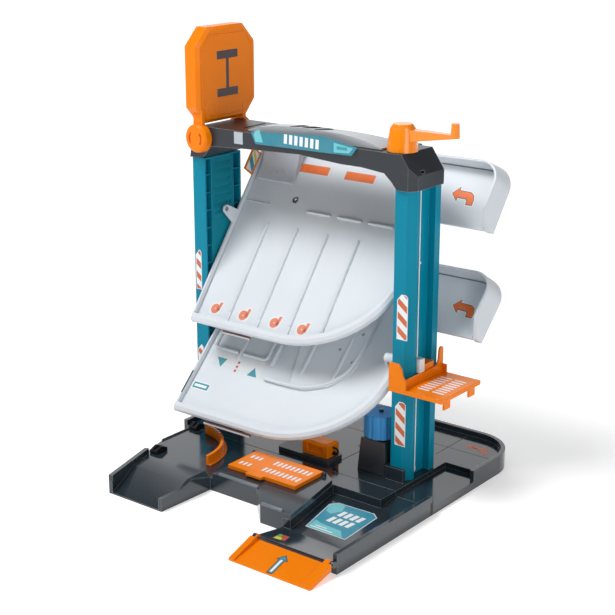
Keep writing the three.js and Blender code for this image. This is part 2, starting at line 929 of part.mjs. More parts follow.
function entryCutter() {
  const high = curbTop + overrun;
  const profile = outline([
    [entryFront - overrun, entryTipHeight],
    [entryFront, entryTipHeight],
    [entryFront + entrySlopeRun, floorTop],
    [entryFront + entrySlopeRun, high],
    [entryFront - overrun, high],
  ]);
  const inner = entryRight - entryRightWallWidth;
  const region = outline([
    leftEdgePoint(-entryWallWidth, entryWallWidth),
    [inner, entryFront - overrun],
    [inner + entryRightFlare, blockFront],
    leftEdgePoint(entryWallLength, entryWallWidth),
  ]);
  return alongX(profile, frontLeft, entryRight).intersect(alongZ(region, 0, high));
}

function entryRightWall(footprint) {
  const profile = outline([
    [entryFront, 0],
    [blockFront, 0],
    [blockFront, curbTop],
    [entryFront + entrySlopeRun, curbTop],
    [entryFront, entryWallTipHeight],
  ]);
  const slab = alongX(profile, entryRight - entryRightWallWidth, entryRight + 2 * entryRightFlare);
  return slab.intersect(footprint);
}

function frontUnderside() {
  const laneGuard = box(laneInnerBack - skirtWall, baseRight, frontBaseFront, frontBaseBack, -overrun,
    curbTop);
  const entryGuard = box(frontLeft, entryRight + 2 * entryRightFlare, entryFront,
    entryFront + entrySlopeRun, -overrun, curbTop);
  const hollow = alongZ(outline(inset(frontCorners, skirtWall)), -overrun, floorUnder);
  return without(hollow, [laneGuard, entryGuard]);
}

function rampLugs() {
  return [laneLeft, baseRight - lugWidth].map((left) => (
    barX(rampAxisY, rampAxisHeight, rampBarrel, left, left + lugWidth)
      .add(box(left, left + lugWidth, rampAxisY, frontBaseFront + overrun,
        rampAxisHeight - rampBarrel, rampAxisHeight))));
}

function plateLugs() {
  return [plateLeft - fit - plateLugWidth, plateRight + fit].map((left) => (
    box(left, left + plateLugWidth, plateBack - plateBarrel, plateBack + plateBarrel,
      floorUnder, plateAxisZ).add(barX(plateBack, plateAxisZ, plateBarrel, left, left + plateLugWidth))));
}

function frontBase() {
  const footprint = alongZ(outline(frontCorners), 0, curbTop);
  const slab = alongZ(outline(frontCorners), 0, floorTop);
  const block = alongZ(outline(blockCorners()), floorUnder, blockTop);
  const rightCurb = box(bayRight, baseRight, frontBaseFront, frontBaseBack, floorUnder, curbTop);
  const leftWall = alongZ(outline([
    leftEdgePoint(0, 0),
    leftEdgePoint(0, entryWallWidth),
    leftEdgePoint(entryWallLength, entryWallWidth),
    leftEdgePoint(entryWallLength, 0),
  ]), 0, curbTop);
  const lowRim = box(frontLeft, frontLeft + lowRimWidth, leftBreakY, frontBaseBack, floorUnder,
    floorTop + lowRimHeight);
  const upper = joined([slab, block, rightCurb, leftWall, lowRim]);
  const shaped = without(upper, [laneCutter(), laneExitCutter(), entryCutter(), frontUnderside()]);
  const ribs = underRibs(inset(frontCorners, skirtWall / 2), frontLeft, laneInnerBack, blockFront,
    frontBaseBack);
  const whole = joined([shaped, entryRightWall(footprint), ribs, ...rampLugs(), ...plateLugs()]);
  return without(whole, [
    barX(rampAxisY, rampAxisHeight, rampPinRadius + fit, laneLeft + overrun, baseRight - overrun),
    barX(plateBack, plateAxisZ, platePinRadius + fit, plateLeft - plateLugWidth, plateRight + plateLugWidth),
  ]);
}

// Left column, a channel with ribs that holds the louvred panel
function pinHole(y, z, left, right) {
  return barX(y, z, deckPinRadius + fit, left, right);
}

function tenons(solid, tenon) {
  const foot = tenonBox(...tenon, socketFloor + fit, columnFoot + overrun, 0);
  const head = tenonBox(...tenon, columnTop - overrun, columnTop + topTenonLength, 0);
  const shanks = screwPlaces(...tenon)
    .map(([x, y]) => barZ(x, y, screwRadius + fit, 0, columnFoot - overrun));
  return without(joined([solid, foot, head]), shanks);
}

function leftColumn() {
  const back = leftColumnLeft + columnWall;
  const innerFront = columnFront + columnWall;
  const innerBack = leftColumnBack - columnWall;
  const block = box(leftColumnLeft, leftColumnRight, columnFront, leftColumnBack, columnFoot, columnTop);
  const pocket = box(back, leftColumnRight + overrun, innerFront, innerBack,
    columnFoot + columnEndPlate, columnTop - columnEndPlate);
  const walls = [panelFront - panelWall, panelBack].map((front) => (
    box(back - overrun, leftColumnRight, front, front + panelWall, columnFoot, columnTop)));
  const ribs = [];
  const ribFace = leftColumnRight - crossRibRecess;
  for (let z = columnTop - crossRibPitch; z > columnFoot + crossRibPitch; z -= crossRibPitch) {
    ribs.push(box(back - overrun, ribFace, innerFront - overrun, panelFront, z, z + crossRibThickness));
    ribs.push(box(back - overrun, ribFace, panelBack, innerBack + overrun, z, z + crossRibThickness));
  }
  const panelBehind = leftColumnRight - panelRecess - panelThickness - fit;
  const panelRoom = box(panelBehind, leftColumnRight + overrun, panelFront, panelBack, columnFoot, columnTop);
  const bosses = [
    barX(upperPivotY, upperPivotZ, deckPinBoss, back - overrun, panelBehind),
    barX(lowerPivotY, lowerPivotZ, deckPinBoss, back - overrun, leftColumnRight - panelRecess)
      .subtract(panelRoom),
  ];
  const shell = joined([block.subtract(pocket), ...walls, ...ribs, ...bosses]);
  const holes = [[upperPivotY, upperPivotZ], [lowerPivotY, lowerPivotZ]].map(([y, z]) => (
    pinHole(y, z, leftColumnRight - 2 * deckPinDepth, leftColumnRight + overrun)));
  return tenons(without(shell, holes), leftTenon);
}

function leftColumnPanel() {
  const face = leftColumnRight - panelRecess;
  const low = columnFoot + columnEndPlate + fit;
  const high = columnTop - columnEndPlate - fit;
  const plate = box(face - panelThickness, face, panelFront + fit, panelBack - fit, low, high);
  const louvres = Array.from({ length: louvreCount }, (_, i) => {
    const top = high - louvreTopGap - i * louvrePitch;
    const wedge = outline([
      [face + overrun, top],
      [face - louvreDepth, top],
      [face, top - louvreHeight],
      [face + overrun, top - louvreHeight],
    ]);
    return alongY(wedge, panelFront + louvreMargin, panelBack - louvreMargin);
  });
  return without(plate, [...louvres, barX(upperPivotY, upperPivotZ, deckPinRadius + pinFit,
    face - panelThickness - overrun, face + overrun)]);
}

// Right column with the channel that the lift runs in
function rightColumnCorners() {
  return [
    [rightColumnLeft, columnFront],
    [rightColumnRight - columnBevelX, columnFront],
    [rightColumnRight, columnFront + columnBevelY],
    [rightColumnRight, channelFront],
    [channelFloor, channelFront],
    [channelFloor, channelBack],
    [rightColumnRight, channelBack],
    [rightColumnRight, rightColumnBack],
    [rightColumnLeft, rightColumnBack],
  ];
}

function rightColumn() {
  const corners = rightColumnCorners();
  const outer = alongZ(outline(corners), columnFoot, columnTop);
  const hollow = alongZ(outline(inset(corners, columnWall)), columnFoot + columnEndPlate,
    columnTop - columnEndPlate);
  const bosses = [[upperPivotY, upperPivotZ], [lowerPivotY, lowerPivotZ]].map(([y, z]) => (
    barX(y, z, deckPinBoss, rightColumnLeft + columnWall / 2, rightColumnLeft + deckPinDepth + overrun)));
  const lugFront = cordY + pulleySlotWidth / 2 + fit;
  const lug = box(pulleyX - pulleyLugSize / 2, pulleyX + pulleyLugSize / 2, lugFront, lugFront + pulleyLug,
    pulleyZ - pulleyLugSize / 2, pulleyZ + pulleyLugSize / 2);
  const body = tenons(joined([outer.subtract(hollow), ...bosses, lug]), rightTenon);
  const pulleyReach = pulleyRadius + pulleyFlange + overrun;
  const slot = box(channelFloor - columnWall - overrun, channelFloor + overrun,
    cordY - pulleySlotWidth / 2, cordY + pulleySlotWidth / 2, columnFoot + columnEndPlate,
      pulleyZ + pulleyReach);
  const cordHole = box(innerCordX - cordPassage / 2, innerCordX + cordPassage / 2,
    cordY - cordPassage / 2, cordY + cordPassage / 2, columnTop - 2 * columnEndPlate, columnTop + overrun);
  const holes = [[upperPivotY, upperPivotZ], [lowerPivotY, lowerPivotZ]].map(([y, z]) => (
    pinHole(y, z, rightColumnLeft - overrun, rightColumnLeft + deckPinDepth)));
  const pinBore = barY(pulleyX, pulleyZ, pulleyPinRadius + fit, channelFront - columnWall - overrun,
    lugFront + pulleyLug + overrun);
  return without(body, [slot, cordHole, ...holes, pinBore]);
}

function lowerPulley() {
  const groove = pulleyRadius - cordRadius - 2 * fit;
  const flat = cordRadius + fit;
  const outer = pulleyRadius + pulleyFlange;
  const side = pulleyWidth / 2;
  const profile = [
    [pulleyPinRadius + fit, -side],
    [outer, -side],
    [outer, -side + pulleyFlange / 2],
    [groove, -flat],
    [groove, flat],
    [outer, side - pulleyFlange / 2],
    [outer, side],
    [pulleyPinRadius + fit, side],
  ].map(([radius, along]) => new THREE.Vector2(radius, along));
  const geometry = new THREE.LatheGeometry([...profile, profile[0]], 2 * roundSteps);
  return toSolid(geometry).translate([pulleyX, cordY, pulleyZ]);
}

function pulleyPin() {
  const back = cordY + pulleySlotWidth / 2 + fit + pulleyLug;
  return barY(pulleyX, pulleyZ, pulleyPinRadius, channelFront - columnWall, back);
}

function leftDeckPin(y, z) {
  return barX(y, z, deckPinRadius, leftColumnRight - 2 * deckPinDepth + fit, deckLeft);
}

function rightDeckPin(y, z) {
  return barX(y, z, deckPinRadius, deckRight, rightColumnLeft + deckPinDepth - fit);
}

function columnScrew([x, y]) {
  return barZ(x, y, screwHeadRadius, underRibLift, underRibLift + screwHeadHeight)
    .add(barZ(x, y, screwRadius, underRibLift, columnFoot - 2 * overrun));
}

// Beam across the columns, with the room for the winding drum
function beamOutline() {
  const left = leftColumnRight;
  const right = beamRight - beamBlockWidth;
  const under = beamUndersideShares.map(([along, up]) => (
    [left + (right - left) * along, columnTop + beamHeight * up]));
  const rounding = Array.from({ length: bigArcSteps + 1 }, (_, i) => {
    const turn = Math.PI / 2 + (Math.PI * i) / (2 * bigArcSteps);
    return [padAxisX + padAxisBelowTop * Math.cos(turn), padAxisZ + padAxisBelowTop * Math.sin(turn)];
  });
  return outline([
    [baseLeft, columnTop],
    ...under,
    [beamRight, columnTop],
    [beamRight, beamTop - beamChamferDrop],
    [beamRight - beamChamferRun, beamTop],
    ...rounding,
  ]);
}

function cordRoom() {
  const left = crankX - beamSkin;
  const middle = beamRight - beamChamferRun - overrun;
  const right = cordX + cordFromFace / 2;
  const slope = beamChamferDrop / beamChamferRun;
  const ceiling = drumRoomTop - beamSkin / 2;
  const low = columnTop + topTenonLength + 2 * overrun;
  const profile = outline([
    [left, drumRoomLow],
    [middle, low],
    [right, low],
    [right, ceiling - (right - middle) * slope],
    [middle, ceiling],
    [left, ceiling],
  ]);
  return alongY(profile, crankY - drumRoomRadius, crankY + drumRoomRadius);
}

function topBeam() {
  const body = alongY(beamOutline(), beamFront, beamBack);
  const corner = alongZ(outline([
    [beamRight - beamCornerX, beamFront - overrun],
    [beamRight + overrun, beamFront - overrun],
    [beamRight + overrun, beamFront + beamCornerY],
    [beamRight, beamFront + beamCornerY],
    [beamRight - beamCornerX, beamFront],
  ]), columnTop - overrun, beamTop + overrun);
  const setback = box(beamRight - beamBlockReach, beamRight + overrun, beamBack - beamBlockSetback,
    beamBack + overrun, columnTop - overrun, beamTop + overrun);
  const slots = [leftTenon, rightTenon].map((tenon) => (
    tenonBox(...tenon, columnTop - overrun, columnTop + topTenonLength + overrun, fit)));
  const passage = box(innerCordX - cordPassage, rightColumnRight, cordY - cordPassage, cordY + cordPassage,
    columnTop - overrun, drumRoomLow);
  return without(body, [
    corner,
    setback,
    ...slots,
    passage,
    cordRoom(),
    barZ(crankX, crankY, drumRoomRadius, drumRoomLow, drumRoomTop),
    barZ(crankX, crankY, crankShaftRadius + pinFit, drumRoomTop - overrun, beamTop + overrun),
    barY(padAxisX, padAxisZ, padPinRadius + fit, beamFront - overrun, beamBack + overrun),
  ]);
}

function arch(left, right, low, rise) {
  const shape = new THREE.Shape();
  const span = right - left;
  shape.moveTo(left, low);
  shape.lineTo(right, low);
  shape.lineTo(right, low + roofEdge);
  shape.bezierCurveTo(right - span / 6, low + rise, left + (2 * span) / 3, low + rise, left + span / 2,
    low + rise);
  shape.bezierCurveTo(left + span / 3, low + rise, left + span / 6, low + rise, left, low + roofEdge);
  return shape.getPoints(bigArcSteps);
}

function vault(inward, low, front, back, rise, backRise) {
  const left = roofRight - roofLength + inward;
  const right = roofRight - inward;
  return toSolid(loft([
    { points: arch(left, right, low, backRise), height: -back },
    { points: arch(left, right, low, rise), height: -front },
  ]).applyMatrix4(extrudedToY));
}

function roofCover() {
  const low = beamTop + fit;
  const front = beamFront + roofFrontSetback;
  const back = front + roofDepth;
  const inner = vault(2 * roofShell, low - roofShell, front + roofShell, back - roofShell, roofRise,
    roofBackRise);
  return vault(0, low, front, back, roofRise, roofBackRise).subtract(inner);
}

function signPanel() {
  const low = beamTop - signLow;
  const height = signLow + signHigh;
  const points = signOutlineShares.map(([along, up]) => (
    [roofRight + roofLength * (signStartShare + signWidthShare * along - 1), low + height * up]));
  return alongY(outline(points), beamFront - fit - signThickness, beamFront - fit);
}

// Landing pad, a shallow shell with its letter, and the two hinge discs
function padCorners() {
  return [
    [padFront + padLowCutX, padLow],
    [padBack - padLowCutX, padLow],
    [padBack, padLow + padLowCutZ],
    [padBack, padTop - padTopCut],
    [padBack - padTopCut, padTop],
    [padFront + padTopCut, padTop],
    [padFront, padTop - padTopCut],
    [padFront, padLow + padLowCutZ],
  ];
}

function letterOutline(shrink) {
  const middle = (padFront + padBack) / 2;
  const centre = (padLow + padTop) / 2;
  const bar = letterBarLength / 2;
  const web = letterWebWidth / 2;
  const high = letterHeight / 2;
  const low = high - letterBarHeight;
  const quarter = [[web, low], [bar, low], [bar, high]];
  const corners = [
    ...quarter,
    ...quarter.map(([y, z]) => [-y, z]).reverse(),
    ...quarter.map(([y, z]) => [-y, -z]),
    ...quarter.map(([y, z]) => [y, -z]).reverse(),
  ].map(([y, z]) => [middle + y, centre + z]);
  return outline(inset(corners, shrink));
}

function padShell() {
  const corners = padCorners();
  const level = (shrink, height) => ({ points: outline(inset(corners, shrink)).getPoints(), height });
  const plate = toSolid(loft([level(0, padBackX), level(0, padFaceX - padBevel), level(padBevel, padFaceX)])
    .applyMatrix4(extrudedToX));
  const pocket = alongX(outline(inset(corners, padWall)), padBackX - overrun, padFaceX - padWall - padBevel);
  const recess = alongX(letterOutline(0), padFaceX - letterRecess, padFaceX + overrun);
  return without(plate, [pocket, recess]);
}

function helipad() {
  const rearFront = beamBack + fit;
  const frontBack = beamFront - fit;
  const rounded = [
    [frontBack, hingeDiscRadius],
    [frontBack - frontDiscThickness + hingeDiscRim, hingeDiscRadius],
    [frontBack - frontDiscThickness + hingeDiscRim / 3, hingeDiscRadius - overrun],
    [frontBack - frontDiscThickness, hingeDiscFaceRadius],
  ].map(([y, radius]) => ({
    points: disc(padAxisX, padAxisZ, radius).getPoints(2 * roundSteps).slice(0, -1),
    height: -y,
  }));
  const discs = [
    toSolid(loft(rounded).applyMatrix4(extrudedToY)),
    barY(padAxisX, padAxisZ, hingeDiscRadius, rearFront, rearFront + rearDiscThickness, 2 * roundSteps),
  ];
  const neckLeft = padAxisX - neckBackFromAxis;
  const necks = [
    [frontBack - neckThickness, frontBack],
    [rearFront, rearFront + rearDiscThickness],
  ].map(([front, back]) => box(neckLeft, neckLeft + neckWidth, front, back, padAxisZ, padLow + neckRise));
  const discFace = frontBack - frontDiscThickness;
  const halfSlot = THREE.MathUtils.degToRad(discSlotDegrees) / 2;
  const slots = [0, Math.PI].map((turn) => alongY(
    ringSector(padAxisX, padAxisZ, discSlotInner, discSlotOuter, turn - halfSlot, turn + halfSlot),
    discFace - overrun,
    discFace + discSlotDepth,
  ));
  const bore = barY(padAxisX, padAxisZ, padPinRadius + fit, discFace + padPinEnd - fit,
    rearFront + rearDiscThickness + overrun);
  return without(joined([padShell(), ...discs, ...necks]), [...slots, bore]);
}

function helipadPin() {
  const start = beamFront - fit - frontDiscThickness + padPinEnd;
  return barY(padAxisX, padAxisZ, padPinRadius, start, beamBack + fit + rearDiscThickness);
}

function helipadLetter() {
  return alongX(letterOutline(fit), padFaceX - letterRecess + fit, padFaceX);
}

// Crank with its arm and knob, and the drum on its shaft
function crank() {
  const hubTop = crankLow + crankHubHeight;
  const hub = coneZ(crankX, crankY, [
    [crankLow, crankHubRadius],
    [hubTop, crankHubTopRadius],
    [hubTop + crankCapHeight, crankCapRadius],
  ]);
  const section = (width, height) => outline([
    [crankY - width / 2, crankLow + crankArmTop - height],
    [crankY + width / 2, crankLow + crankArmTop - height],
    [crankY + width / 2, crankLow + crankArmTop],
    [crankY - width / 2, crankLow + crankArmTop],
  ]).getPoints();
  const arm = toSolid(loft([
    { points: section(crankArmRootWidth, crankArmRootHeight), height: crankX },
    { points: section(crankArmTipWidth, crankArmTipHeight), height: crankX + crankArmReach },
  ]).applyMatrix4(extrudedToX));
  const knobX = crankX + crankArmReach - crankKnobBackset;
  const knobLow = crankLow + crankArmTop - crankArmTipHeight;
  const knob = coneZ(knobX, crankY, [
    [knobLow, crankKnobRadius],
    [knobLow + crankKnobHeight, crankKnobRadius - overrun],
  ]);
  const shaft = barZ(crankX, crankY, crankShaftRadius, drumRoomLow + fit, crankLow + overrun);
  return joined([hub, arm, knob, shaft]);
}

function winchDrum() {
  const bore = crankShaftRadius + fit;
  const groove = drumCordRadius - cordRadius - fit;
  return turned([
    [bore, 0],
    [drumFlangeRadius, 0],
    [drumFlangeRadius, drumFlange],
    [groove, 2 * drumFlange],
    [groove, drumHeight - 2 * drumFlange],
    [drumFlangeRadius, drumHeight - drumFlange],
    [drumFlangeRadius, drumHeight],
    [bore, drumHeight],
  ], crankX, crankY, drumRoomLow + fit);
}

// Lift cord, one loop over the drum above and the pulley below, tied in a knot
function halfTurn(centreU, centreV, radius, from, steps) {
  return Array.from({ length: steps + 1 }, (_, i) => {
    const turn = from + (Math.PI * i) / steps;
    return [centreU + radius * Math.cos(turn), centreV + radius * Math.sin(turn)];
  });
}

function liftCord() {
  const drumZ = drumRoomLow + drumHeight / 2;
  const entry = columnTop + cordPassage;
  const round = halfTurn(crankX, crankY, drumCordRadius, Math.PI / 2, bigArcSteps).reverse();
  const over = round.map(([x, y]) => [x, y, drumZ]);
  const below = halfTurn(pulleyX, pulleyZ, pulleyRadius, Math.PI, bigArcSteps).map(([x, z]) => [x, cordY, z]);
  const route = [
    [cordX, cordY, knotHeight + cordRadius / 2],
    [cordX, cordY, entry],
    ...cordToDrum.map(([x, y, z]) => [cordX + x, cordY + y, entry + z]),
    ...over,
    ...cordFromDrum.map(([x, y, z]) => [crankX + x, crankY + y, drumZ + z]),
    [innerCordX, cordY, drumZ - cordDropBelowDrum],
    ...below,
    [cordX, cordY, knotHeight - cordRadius / 2],
  ];
  const knot = toSolid(new THREE.SphereGeometry(knotRadius, cordSides, cordSides / 2 + 2));
  return tube(route, cordRadius, cordSides).add(knot.translate([cordX, cordY, knotHeight]));
}

// Lift platform with its slotted floor, front plate, rear horn and hooks
function platformFloor() {
  const ledgeBack = liftFront + frontLedgeDepth;
  const ledgeLeft = liftLeft - frontPlateReach;
  const corners = [
    [ledgeLeft, liftFront],
    [liftRight, liftFront],
    [liftRight, liftBack],
    [liftLeft, liftBack],
    [liftLeft, ledgeBack + frontPlateLap],
    [liftLeft - frontPlateLap, ledgeBack],
    [ledgeLeft, ledgeBack],
  ];
  const slab = alongZ(outline(corners), liftLow, liftFloorTop);
  return slab.subtract(alongZ(outline(inset(corners, liftWall)), liftLow - overrun,
    liftFloorTop - liftFloorPlate));
}

function platformSlots() {
  const slots = [];
  const rowsWidth = liftSlotRows * liftSlotLength + (liftSlotRows - 1) * liftSlotRowGap;
  const firstX = (liftLeft + liftWall + liftRight) / 2 - rowsWidth / 2;
  const firstY = (liftFront + liftBack) / 2 - ((liftSlotCount - 1) * liftSlotPitch + liftSlotWidth) / 2;
  for (let row = 0; row < liftSlotRows; row += 1) {
    const left = firstX + row * (liftSlotLength + liftSlotRowGap);
    for (let i = 0; i < liftSlotCount; i += 1) {
      const front = firstY + i * liftSlotPitch;
      slots.push(box(left, left + liftSlotLength, front, front + liftSlotWidth, liftLow - overrun,
        liftFloorTop + overrun));
    }
  }
  return slots;
}

function platformFrontPlate() {
  const left = liftLeft - frontPlateReach;
  const right = liftLeft + frontPlateLap;
  const top = liftFloorTop + frontPlateHeight;
  const shoulder = liftFloorTop + liftBackWallHeight;
  const shape = new THREE.Shape();
  shape.moveTo(left, liftLow);
  shape.lineTo(right, liftLow);
  shape.lineTo(right, shoulder);
  shape.bezierCurveTo(right - frontPlateLap, shoulder, right - frontPlateLap, top,
    right - 2 * frontPlateLap, top);
  shape.lineTo(left + frontPlateThickness, top);
  shape.quadraticCurveTo(left, top, left, top - frontPlateThickness);
  return alongY(shape, liftFront, liftFront + frontPlateThickness);
}

function platformBackWall() {
  const top = liftFloorTop + liftBackWallHeight;
  const hornTop = liftFloorTop + hornHeight;
  const shape = new THREE.Shape();
  shape.moveTo(liftFront, liftLow);
  shape.lineTo(liftBack, liftLow);
  shape.lineTo(liftBack, hornTop - hornWidth / 2);
  shape.quadraticCurveTo(liftBack, hornTop, liftBack - hornWidth / 2, hornTop);
  shape.quadraticCurveTo(liftBack - hornWidth, hornTop, liftBack - hornWidth, hornTop - hornWidth);
  shape.quadraticCurveTo(liftBack - hornWidth, top, liftBack - 2 * hornWidth, top);
  shape.lineTo(liftFront, top);
  return alongX(shape, liftLeft, liftLeft + liftWall);
}

function platformHooks() {
  const outer = baseRight + hookClear;
  return [liftFront + hookInset, liftBack - hookInset - hookWidth].map((front) => (
    box(outer, outer + liftWall, front, front + hookWidth, liftFloorTop - hookDrop,
      liftFloorTop - liftFloorPlate / 2)));
}

function liftPlatform() {
  const horn = box(liftLeft, liftLeft + hornReach, liftBack - liftWall, liftBack,
    liftLow, liftFloorTop + liftBackWallHeight);
  const body = without(platformFloor(), platformSlots());
  return joined([body, platformFrontPlate(), platformBackWall(), horn, ...platformHooks()]);
}

function liftRunner() {
  const front = cordY + pulleySlotWidth / 2 + fit + pulleyLug + runnerGapBehindLug;
  return box(channelFloor + runnerChannelGap, liftLeft - fit, front, channelBack - fit, liftLow,
    liftLow + runnerHeight);
}

function cordClip() {
  const low = liftFloorTop + clipLow + fit;
  const high = low + clipHeight;
  const left = rightColumnRight + fit;
  const prongFront = cordY + knotRadius + clipProng / 2;
  const plate = box(left, left + clipPlate, channelFront, prongFront + clipProng, low, high);
  const prong = box(left - clipProngReach, left + clipPlate, prongFront, prongFront + clipProng, low, high);
  return plate.add(prong);
}

// Decks share one tray form, built level by level round the inner floor outline
function deckOutline(front, side, left) {
  const right = deckRight + front;
  const curveX = deckRight - deckCurveWidth;
  const back = deckLength + side;
  const shape = new THREE.Shape();
  shape.moveTo(deckLeft - left, -front);
  shape.lineTo(curveX, -front);
  shape.absellipse(curveX, deckCurveLength, deckCurveWidth + front, deckCurveLength + front, -Math.PI / 2, 0);
  shape.lineTo(right, wingStart);
  shape.lineTo(wingRight + side, wingStart);
  shape.lineTo(wingRight + side, back - wingCornerRadius - side);
  shape.absarc(wingRight - wingCornerRadius, deckLength - wingCornerRadius, wingCornerRadius + side, 0,
    Math.PI / 2);
  shape.lineTo(deckLeft - left, back);
  return shape.getPoints(bigArcSteps);
}

function sideOffset(height) {
  const share = (height + deckRimDrop) / (wingWallHeight + deckRimDrop);
  return wingWallFoot + (deckWall - wingWallFoot) * share;
}

function deckSkin() {
  const levels = rimProfileShares.map(([up, out]) => {
    const height = -deckRimDrop + (deckRimHeight + deckRimDrop) * up;
    return { points: deckOutline(deckRim * out, sideOffset(height), deckWall), height };
  });
  const lip = deckRim * rimProfileShares.at(-1)[1];
  const top = { points: deckOutline(lip, sideOffset(wingWallHeight), deckWall), height: wingWallHeight };
  return toSolid(loft([...levels, top]));
}

function deckInside(low, high) {
  return toSolid(loft([low, high].map((height) => ({ points: deckOutline(0, 0, 0), height }))));
}

function deckTray() {
  const high = wingWallHeight + overrun;
  const openFront = box(deckLeft, wingRight + 2 * wingWallFoot, -2 * deckRim, wingStart, deckRimHeight, high);
  const leftTop = box(deckLeft - 2 * deckWall, deckLeft + overrun, -2 * deckRim,
    deckLength - leftWallEndGap, deckRimHeight, high);
  const wingMouth = box(deckRight, wingRight, wingStart - overrun, wingStart + overrun, 0, high);
  const rake = alongX(outline([
    [wingStart - overrun, 0],
    [wingStart, 0],
    [wingStart + high, high],
    [wingStart - overrun, high],
  ]), wingRight - overrun, wingRight + 2 * wingWallFoot);
  const under = deckInside(-deckRimDrop - overrun, -deckFloorPlate);
  const corner = box(deckRight - overrun, deckRight + deckRim + overrun, wingStart - overrun,
    wingStart + overrun, deckRimHeight, high);
  const cutters = [deckInside(0, high), under, openFront, leftTop, wingMouth, rake, corner];
  return without(deckSkin(), cutters);
}

function deckEars(along, above) {
  const shape = outline([
    [along - earFoot, -deckFloorPlate / 2],
    [along + earFoot, -deckFloorPlate / 2],
    [along + earRadius, above],
    [along - earRadius, above],
  ]);
  const ear = (left) => alongX(shape, left, left + deckWall)
    .add(barX(along, above, earRadius, left, left + deckWall));
  const spacer = barX(along, above, earRadius, deckRight, rightColumnLeft - pinFit);
  return joined([ear(deckLeft - deckWall), ear(deckRight), spacer]);
}

function deckBores(along, above) {
  const bore = (left, right) => barX(along, above, deckPinRadius + pinFit, left, right);
  return [
    bore(deckLeft - deckWall - overrun, deckLeft + overrun),
    bore(deckRight - overrun, rightColumnLeft),
  ];
}

function ridge(left, right, front, back, height = ridgeHeight) {
  return box(left, right, front, back, -deckFloorPlate / 2, height);
}

function aboutPivot(solid, along, above) {
  return solid.translate([0, -along, -above]);
}

function upperDeck() {
  const ridges = Array.from({ length: upperRidgeCount }, (_, i) => {
    const left = deckLeft + upperRidgeFromLeft + i * bayPitch;
    return ridge(left, left + ridgeWidth, 0, wingStart - upperRidgeEndGap);
  });
  const dashes = Array.from({ length: dashCount }, (_, i) => {
    const left = deckLeft + dashFromLeft + i * dashPitch;
    const front = wingStart - dashBeforeWing;
    return ridge(left, left + dashLength, front, front + dashDepth);
  });
  const hole = barZ(deckLeft + upperHoleFromLeft, upperHoleAlong, deckHoleRadius, -deckRimDrop,
    deckRimHeight);
  const ears = deckEars(upperPivotAlong, upperPivotAbove);
  const tray = joined([deckTray(), ears, ...ridges, ...dashes]);
  const bored = without(tray, [hole, ...deckBores(upperPivotAlong, upperPivotAbove)]);
  return aboutPivot(bored, upperPivotAlong, upperPivotAbove);
}

const rampAlong = deckLength - rampBackGap - rampLength;
const boardAlong = rampAlong + boardBehindRamp;

function deckRamp() {
  const left = deckLeft + rampFromLeft;
  const back = rampAlong + rampLength;
  const shape = new THREE.Shape();
  shape.moveTo(rampAlong, fit);
  shape.lineTo(back, fit);
  shape.lineTo(back, rampStep + rampRise);
  shape.quadraticCurveTo(rampAlong + rampLength / 2, rampStep, rampAlong, rampStep);
  const slope = alongX(shape, left, left + rampWidth, bigArcSteps);
  const ribs = Array.from({ length: rampRibCount }, (_, i) => {
    const ribLeft = left + rampWidth / 2 + (i - 1) * rampRibPitch;
    const ribFront = rampAlong + rampRibPitch;
    return box(ribLeft, ribLeft + rampRibWidth, ribFront, ribFront + rampRibLength,
      rampStep / 2, rampStep + rampRibWidth);
  });
  return aboutPivot(joined([slope, ...ribs]), upperPivotAlong, upperPivotAbove);
}

function rampSign() {
  const left = deckLeft - deckWall;
  const low = deckRimHeight + fit;
  const plate = box(left, left + boardThickness, boardAlong, boardAlong + boardLength, low,
    low + boardHeight);
  const face = box(left + boardThickness - boardPanelRecess, left + boardThickness + overrun,
    boardAlong + boardFrame, boardAlong + boardLength - boardFrame, low + boardFrame,
      low + boardHeight - boardFrame);
  return aboutPivot(plate.subtract(face), upperPivotAlong, upperPivotAbove);
}

const plateauDepth = deckLength - plateauBackGap - plateauAlong;

function lowerPlateau() {
  const left = deckLeft + plateauFromLeft;
  const edge = plateauWidthShares.map((share, i) => (
    [left + plateauWidth * share, plateauAlong + plateauDepth * plateauDepthShares[i],
      i > 0 && i < plateauWidthShares.length - 1 ? plateauRound : 0]));
  const corners = [...edge, [left + plateauWidth, plateauAlong + plateauDepth],
    [left, plateauAlong + plateauDepth]];
  return alongZ(outline(corners), -deckFloorPlate / 2, plateauHeight);
}

function lowerDeck() {
  const left = deckLeft + plateauFromLeft;
  const ridges = Array.from({ length: lowerRidgeCount }, (_, i) => {
    const from = left + i * bayPitch;
    return ridge(from, from + ridgeWidth, lowerRidgeAlong, lowerRidgeAlong + lowerRidgeLength,
      plateauHeight + ridgeHeight);
  });
  const holes = lowerHoleShares.map(([across, along]) => (
    barZ(left + plateauWidth * across, plateauAlong + plateauDepth * along, deckHoleRadius / 2,
      -deckRimDrop, deckRimHeight)));
  const ears = deckEars(lowerPivotAlong, lowerPivotAbove);
  const tray = joined([deckTray(), ears, lowerPlateau(), ...ridges]);
  const bored = without(tray, [...holes, ...deckBores(lowerPivotAlong, lowerPivotAbove)]);
  return aboutPivot(bored, lowerPivotAlong, lowerPivotAbove);
}

